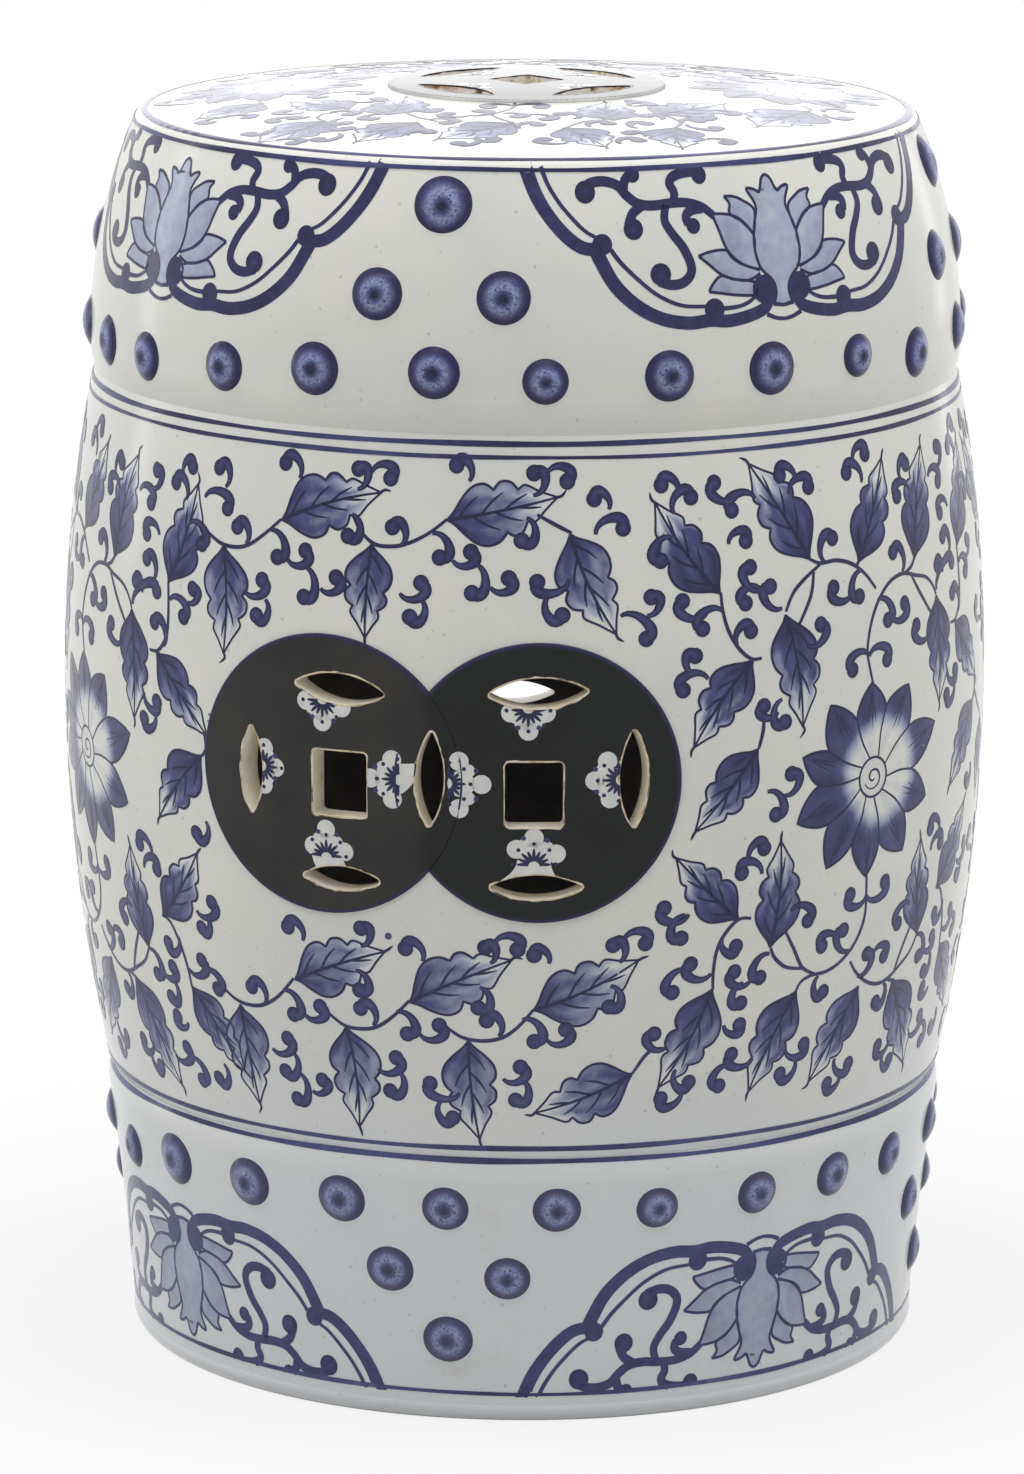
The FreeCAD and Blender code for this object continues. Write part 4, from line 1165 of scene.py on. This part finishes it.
def blossom(white, ink, root, direction, reach, one, other, neck=None, size=1.0):
    """Lobes round a root at the rim of an opening, with stamens. A neck is white glaze that runs
    down to the opening: its length, and how wide it ends on each side."""
    a = math.radians(direction)
    ux, uy = size * math.cos(a), size * math.sin(a)
    sides = ((1, one), (-1, other))

    def at(across, along):
        return (root[0] + ux * along - uy * across, root[1] + uy * along + ux * across)

    def ray(degrees, radius):
        b = math.radians(degrees)
        return at(radius * math.sin(b), radius * math.cos(b))

    def lobe(across, along, radius):
        middle = at(across, along)
        rows = [[polar(middle, 15.0 * k, radius * size * r / 5) for k in range(25)] for r in range(6)]
        white.grid(rows, [[0.03 + 0.01 * r] * 25 for r in range(6)])

    lobe(0.0, reach, LOBE)
    for side, (across, along) in sides:
        lobe(side * across, along, LOBE)
    for side, (across, along) in sides:
        lobe(side * 0.58 * across, 0.5 * (along + reach) - 0.6, INNER_LOBE)
    lobe(0.0, 0.42 * reach, HEART_LOBE)
    if neck:
        length, left, right = neck
        rows = []
        for k in range(9):
            t = k / 8
            ends = (mix(NECK_HALF, left, t * t), -mix(NECK_HALF, right, t * t))
            rows.append([at(mix(*ends, i / 8), mix(2.4, -length, t)) for i in range(9)])
        white.grid(rows, [[0.05] * 9] * 9)
    for i in range(STAMENS):
        degrees = mix(-82.0, 82.0, i / (STAMENS - 1))
        far = STAMEN_REACH + 0.9 * math.cos(math.radians(degrees)) - (0.7 if i % 2 else 0.0)
        bow = ray(degrees * 0.94, 0.5 * (ROOT_DISC + far))
        line = smooth([ray(degrees * 0.8, ROOT_DISC), bow, ray(degrees, far)], 3)
        stroke(ink, line, 1.15 * size, 0.93, (1.1, 0.4))
        if i % 2 == 0:
            disc(ink, ray(degrees, far + 1.6), 0.72 * size, 0.95, 0.95, 8)
    stroke(ink, [ray(degrees, ROOT_DISC) for degrees in range(-84, 85, 14)], 0.6 * size, 0.92)
    for side, (across, along) in sides:
        disc(ink, at(side * 0.60 * across, 0.5 * (along + reach) + 2.0), 0.9 * size, 0.85, 0.7, 8)


def lay_blossoms(name, white, ink, place, move=stay):
    lay(name + "_white", white, place, move)
    lay(name + "_ink", ink, place, move)


def decorate_coins():
    """The half flowers, and the outline of each coin where it runs on over the other's flower."""
    outline = COIN_RADIUS / MM / DRAWING_SCALE
    for number, turn, end in ((1, 0.0, "front"), (2, 180.0, "back")):
        place = on_wall(tree_of(end + "_coin_left", end + "_coin_right"), BELLY_MM_PER_DEGREE)
        for side, sign in (("left", -1), ("right", 1)):
            white, ink = Layer(WASH_LIFT), Layer(CURL_LIFT)
            for bearing, height, *form in BLOSSOMS[side]:
                blossom(white, ink, (bearing * BELLY_MM_PER_DEGREE, height), *form)
            line = []
            for degrees in range(-OVERLAP_DEGREES, OVERLAP_DEGREES + 1, 2):
                b = math.radians(degrees)
                x = -sign * COIN_HALF_ANGLE * BELLY_MM_PER_DEGREE + sign * outline * math.cos(b)
                line.append((x, COIN_HEIGHT / MM / DRAWING_SCALE + 0.4 + outline * math.sin(b)))
            stroke(ink, line, OVERLAP_LINE, 0.9, (0.8, 0.8))

            def move(x, y, turn=turn):
                return x + turn * BELLY_MM_PER_DEGREE, y

            lay_blossoms("coin_blossoms_%s_%d" % (side, number), white, ink, place, move)
    white, ink = Layer(WASH_LIFT), Layer(CURL_LIFT)
    for quarter in range(4):
        bearing = SEAT_COIN_TURN + 45.0 + 90.0 * quarter
        root = polar((0.0, 0.0), bearing - 90.0, SEAT_BLOSSOM_AWAY)
        blossom(white, ink, root, bearing + 90.0, *SEAT_BLOSSOM)
    lay_blossoms("seat_coin_blossoms", white, ink, on_seat(tree_of("seat_coin")))


# The seat: two flowers, and sprays of leaves that run round the coin

SEAT_FLOWERS = [(-90, 15), (92, 9)]
# Base and tip of each leaf on the front half, seen from above with the coins' side nearest
SEAT_LEAVES = [
    (-92, -26, -115, -47), (-61, -50, -83, -28), (-48, -66, -42, -32),
    (-69, -70, -92, -98), (-37, -80, -58, -107), (-4, -84, -31, -107),
    (13, -90, 27, -118), (51, -84, 53, -115), (30, -77, 28, -44),
    (44, -64, 69, -35), (98, -36, 79, -74)]
# On the back half these stand for the first and the last leaf, with a stem and curls of their own
SEAT_BACK_LEAVES = [(100, 46, 109, 73), (-69, 64, -97, 83)]
SEAT_BACK_STEMS = [[(-50, 68), (-60, 69), (-69, 64)]]
SEAT_BACK_CURLS = [
    (-77, 60, -86, 54, -1), (-64, 74, -69, 84, -1), (-102, 66, -109, 58, 1),
    (88, 58, 83, 50, 1)]
SEAT_STEMS = [
    [(-4, -49), (-5, -58), (-12, -70)], [(-42, -62), (-37, -72), (-30, -80)],
    [(-70, -57), (-72, -64), (-69, -71)], [(50, -68), (53, -76), (51, -84)],
    [(27, -76), (20, -80), (14, -89)], [(-92, -10), (-94, -18), (-92, -27)],
    [(96, -26), (99, -31), (98, -37)], [(-12, -70), (-9, -77), (-4, -84)],
    [(-61, -50), (-66, -56), (-70, -57)], [(44, -64), (48, -66), (50, -68)]]
# Root and head of each curl, and the side it bows to
SEAT_CURLS = [
    (-116, -9, -128, 2, 1), (-66, -14, -72, -22, -1), (-66, -14, -57, -20, 1),
    (-105, -50, -110, -56, -1), (-105, -50, -96, -53, 1), (-77, -52, -84, -47, 1),
    (-60, -37, -52, -33, -1), (-77, -62, -87, -65, -1), (-75, -60, -80, -60, 1),
    (-68, -55, -61, -61, 1), (-63, -68, -62, -76, -1), (-50, -64, -53, -71, -1),
    (-38, -56, -31, -59, -1), (-87, -76, -95, -82, 1), (-64, -78, -61, -85, -1),
    (-64, -92, -71, -99, 1), (-40, -100, -33, -96, 1), (-33, -76, -27, -82, 1),
    (-5, -54, -13, -56, -1), (-4, -54, 5, -56, 1), (-20, -71, -27, -67, 1),
    (-20, -71, -16, -63, -1), (-8, -68, -3, -73, 1), (0, -70, 7, -77, 1),
    (16, -76, 12, -68, -1), (36, -50, 43, -45, 1), (36, -50, 37, -41, -1),
    (63, -52, 71, -55, 1), (56, -62, 63, -64, -1), (54, -76, 59, -71, 1),
    (55, -78, 65, -81, -1), (46, -72, 41, -67, -1), (38, -88, 41, -80, 1),
    (22, -88, 28, -82, 1), (40, -100, 35, -96, -1), (14, -112, 6, -108, 1),
    (32, -112, 38, -106, 1), (61, -100, 68, -103, 1), (-2, -92, 4, -86, 1),
    (104, -34, 112, -27, 1), (104, -38, 111, -42, -1), (-17, -106, -23, -113, 1),
    (-17, -106, -11, -108, -1), (-85, -96, -79, -102, 1)]
FLOWER_CLEARANCE = 38.0


def clear_of_flowers(points):
    """Whether points of the front half, turned to the back half, miss the two flowers there."""
    return all(math.hypot(x + a, y + b) > FLOWER_CLEARANCE for x, y in points for a, b in SEAT_FLOWERS)


def decorate_seat():
    wash, ink, fill = Layer(WASH_LIFT), Layer(INK_LIFT), Layer(CURL_LIFT)
    leaves = [(-a, -b, -c, -d) for a, b, c, d in SEAT_LEAVES[1:-1]]
    stems = [[(-x, -y) for x, y in stem] for stem in SEAT_STEMS if clear_of_flowers(stem)]
    curls = [(-a, -b, -c, -d, side) for a, b, c, d, side in SEAT_CURLS if clear_of_flowers([(a, b), (c, d)])]
    foliage(
        (wash, ink, fill), SEAT_LEAVES + leaves + SEAT_BACK_LEAVES, SEAT_STEMS + stems + SEAT_BACK_STEMS,
        SEAT_CURLS + curls + SEAT_BACK_CURLS, stay, SEAT_LEAF, SEAT_CURL_SIZE)
    for middle in SEAT_FLOWERS:
        flower(wash, ink, middle)
    turn = math.radians(CAMERA_BEARING)

    def move(x, y):
        return x * math.cos(turn) - y * math.sin(turn), x * math.sin(turn) + y * math.cos(turn)

    lay_all("seat_pattern", on_seat(tree_of("seat_slab")), move, wash=wash, ink=ink, curls=fill)


# The coins, the bosses and the bare clay: materials on the solids themselves

# Places of a coin's three materials, and how far out its openings can lie, as a share of it
FACE, WALL, BACK = 0, 1, 2
LIPS_WITHIN = 0.93
# How squarely a coin's face looks out, or its back inwards, as a cosine
LOOKS_OUT = 0.45
LOOKS_BACK = -0.6
# Widths of the glazed rim of a coin, and of the line where it meets the other coin
COIN_RIM = 2.2 * MM
TWIN_RIM = 2.6 * MM
# The same cosines for the bare clay: on what faces inwards, and on what faces down
CLAY_INWARDS = -0.25
CLAY_DOWN = -0.8
# The worn lip: its width, how much that wavers, and how far it laps over the corner
LIP_WIDTH = 0.50 * MM
LIP_WAVER = 0.13 * MM
LIP_LAP = 0.05 * MM


def place_key(co):
    """A point's place in whole microns, which is the same for points that touch."""
    return tuple(round(c * MICRONS) for c in co)


def islands(mesh):
    """The separate solids of a node, as lists of vertex numbers."""
    spots = {}
    for v in mesh.vertices:
        spots.setdefault(place_key(v.co), []).append(v.index)
    group = list(range(len(mesh.vertices)))

    def find(i):
        while group[i] != i:
            group[i] = group[group[i]]
            i = group[i]
        return i

    for same in spots.values():
        for i in same[1:]:
            group[find(i)] = find(same[0])
    for edge in mesh.edges:
        a, b = edge.vertices
        group[find(a)] = find(b)
    out = {}
    for v in mesh.vertices:
        out.setdefault(find(v.index), []).append(v.index)
    return list(out.values())


def dress(name, *keys):
    mesh = nodes[name].data
    mesh.materials.clear()
    for key in keys:
        mesh.materials.append(MATERIALS[key])


def flat_out(spot):
    """The level direction from the stool's axis to a point."""
    return Vector((spot.x, spot.y, 0.0)).normalized()


def shade_bosses(name):
    """Marks how far each point lies from the middle of its boss, as a share of its radius."""
    mesh = nodes[name].data
    away = [0.0] * len(mesh.vertices)
    for island in islands(mesh):
        spots = [mesh.vertices[i].co for i in island]
        out = flat_out(sum(spots, Vector()) / len(spots))
        side = Vector((-out.y, out.x, 0.0))
        heights = [co.z for co in spots]
        across = [co.dot(side) for co in spots]
        height = (min(heights) + max(heights)) / 2
        centre = (min(across) + max(across)) / 2
        reach = (max(across) - min(across)) / 2
        for i, x, z in zip(island, across, heights):
            away[i] = math.hypot(x - centre, z - height) / reach
    set_values(mesh, "out", away)
    dress(name, "boss")


def clay_inside(name):
    """Glaze outside, bare clay on what faces inwards or down."""
    dress(name, "glaze", "clay")
    for face in nodes[name].data.polygons:
        inner = face.normal.dot(flat_out(face.center)) < CLAY_INWARDS or face.normal.z < CLAY_DOWN
        face.material_index = 1 if inner else 0


def worn_lips(name, look, within):
    """A ribbon on the face round each opening, along the cut's outer corner."""
    mesh = nodes[name].data
    meets = {}
    for face in mesh.polygons:
        for edge in face.edge_keys:
            key = frozenset(place_key(mesh.vertices[i].co) for i in edge)
            if len(key) == 2:
                meets.setdefault(key, []).append(face)
    away, corners = {}, []
    for key, faces in meets.items():
        if sorted(face.material_index for face in faces) != [FACE, WALL]:
            continue
        glazed = [face for face in faces if face.material_index == FACE][0]
        a, b = [Vector(spot) / MICRONS for spot in sorted(key)]
        if not within((a + b) / 2):
            continue
        along = (b - a).normalized()
        inward = glazed.center - (a + b) / 2
        inward -= along * inward.dot(along)
        inward.normalize()
        corners.append(sorted(key))
        for spot in key:
            away.setdefault(spot, []).append((inward, glazed.normal.copy()))
    points, index = [], {}
    for spot, pairs in away.items():
        inward, normal = [sum(vectors, Vector()).normalized() for vectors in zip(*pairs)]
        corner = Vector(spot) / MICRONS
        x, _, z = corner
        wave = math.sin(x * 900) + math.sin(z * 700 + 1.0) + math.sin((x + z) * 2300)
        width = LIP_WIDTH + LIP_WAVER * wave
        raised = corner + normal * INK_LIFT
        index[spot] = len(points)
        points += [in_box(raised - inward * LIP_LAP), in_box(raised + inward * width)]
    faces = [(index[a], index[b], index[b] + 1, index[a] + 1) for a, b in corners]
    piece = mesh_object(name + "_lips", points, faces)
    piece.data.materials.append(MATERIALS[look])
    face_outwards(piece.data)
    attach(piece, "root")


def shade_coin(name, bearing, twin_bearing):
    """Dark glaze on the face, thin glaze over pale clay on the walls of the openings, lightened there as
    painted light, clay behind.
    """
    dress(name, "coin", "edge", "clay")
    mesh = nodes[name].data
    centre = Vector((0.0, 0.0, COIN_HEIGHT))
    own, twin = radial(bearing), radial(twin_bearing)

    def off_axis(spot, axis):
        return (spot - centre).cross(axis).length

    away = []
    for v in mesh.vertices:
        reach = off_axis(v.co, own) / COIN_RADIUS
        away.append(min(reach, 0.9) if off_axis(v.co, twin) < 0.985 * COIN_RADIUS else reach)
    set_values(mesh, "out", away)
    for face in mesh.polygons:
        facing = face.normal.dot(flat_out(face.center))
        at_rim = off_axis(face.center, own) > COIN_RADIUS - COIN_RIM
        at_twin = abs(off_axis(face.center, twin) - COIN_RADIUS) < TWIN_RIM
        if facing > LOOKS_OUT or at_rim or at_twin:
            face.material_index = FACE
        else:
            face.material_index = BACK if facing < LOOKS_BACK else WALL
    worn_lips(name, "worn", lambda spot: off_axis(spot, own) < LIPS_WITHIN * COIN_RADIUS)


def shade_seat_coin():
    """The same for the seat's coin, its walls darker and greyer as painted shade. Its "drop" is how far a
    point lies under the domed face.
    """
    dress("seat_coin", "seat_coin", "seat_edge", "clay")
    mesh = nodes["seat_coin"].data
    for face in mesh.polygons:
        away = math.hypot(face.center.x, face.center.y)
        if face.normal.z > LOOKS_OUT and away < SEAT_COIN_RADIUS - 0.4 * MM:
            face.material_index = FACE
        elif face.normal.z < LOOKS_BACK or away > SEAT_COIN_RADIUS - 1.5 * MM:
            face.material_index = BACK
        else:
            face.material_index = WALL
    spots = [(math.hypot(v.co.x, v.co.y), v.co.z) for v in mesh.vertices]
    at_rim = [spot for spot in spots if spot[0] > SEAT_COIN_RADIUS - 0.2 * MM]
    inner, crown = max(spots, key=lambda spot: spot[1])
    outer, rim = max(at_rim, key=lambda spot: spot[1])
    bend = (crown - rim) / (outer ** 2 - inner ** 2)
    set_values(mesh, "drop", [rim + bend * (outer ** 2 - reach ** 2) - height for reach, height in spots])
    limit = LIPS_WITHIN * SEAT_COIN_RADIUS
    worn_lips("seat_coin", "seat_worn", lambda spot: math.hypot(spot.x, spot.y) < limit)


for name in ("belly_wall", "upper_band", "lower_band", "foot_ring", "seat_slab"):
    clay_inside(name)
for name in ("upper_boss_row", "lower_boss_row", "upper_boss_trios", "lower_boss_trios"):
    shade_bosses(name)
for end, bearing in (("front", 0.0), ("back", 180.0)):
    left, right = bearing - COIN_HALF_ANGLE, bearing + COIN_HALF_ANGLE
    shade_coin(end + "_coin_left", left, right)
    shade_coin(end + "_coin_right", right, left)
shade_seat_coin()
decorate_belly()
decorate_bands()
decorate_coins()
decorate_seat()
for row in RINGS:
    ring(*row)

add_camera()
for name, setting in LAMPS.items():
    add_lamp(name, *setting)


def floor_material():
    """A pale floor that keeps the shadow near the object and is plain white further off."""
    shade = Shade("floor", 0.75, 0.1)
    shade.shader.inputs["Base Color"].default_value = FLOOR_GREY
    glow = shade.add("ShaderNodeEmission", {"Strength": 1.0})
    away = shade.add("ShaderNodeVectorMath", {0: shade.where}, operation="LENGTH").outputs["Value"]
    share = shade.range(away, FLOOR_SHADE_FROM, FLOOR_SHADE_TO, FLOOR_WHITE_NEAR, 1.0)
    both = shade.add("ShaderNodeMixShader", {
        0: shade.times(shade.seen(), share), 1: shade.shader.outputs["BSDF"], 2: glow.outputs["Emission"]})
    shade.put(shade.tree.nodes["Material Output"].inputs["Surface"], both.outputs["Shader"])
    return shade.material


def add_floor():
    corners = [(x * FLOOR_HALF, y * FLOOR_HALF, 0.0) for x, y in ((-1, -1), (1, -1), (1, 1), (-1, 1))]
    floor = mesh_object("floor", corners, [(0, 1, 2, 3)])
    floor.data.materials.append(floor_material())


def add_world():
    """Plain soft light all round, and white wherever the camera sees past the object."""
    world = bpy.context.scene.world or bpy.data.worlds.new("world")
    bpy.context.scene.world = world
    world.use_nodes = True
    around = Nodes(world.node_tree)
    ground = around.tree.nodes["Background"]
    around.put(ground.inputs["Color"], (255, 255, 255))
    around.put(ground.inputs["Strength"], around.range(around.seen(), 0.0, 1.0, WORLD_LIGHT, 1.0))


add_floor()
add_world()
bpy.context.scene.view_settings.view_transform = "Standard"
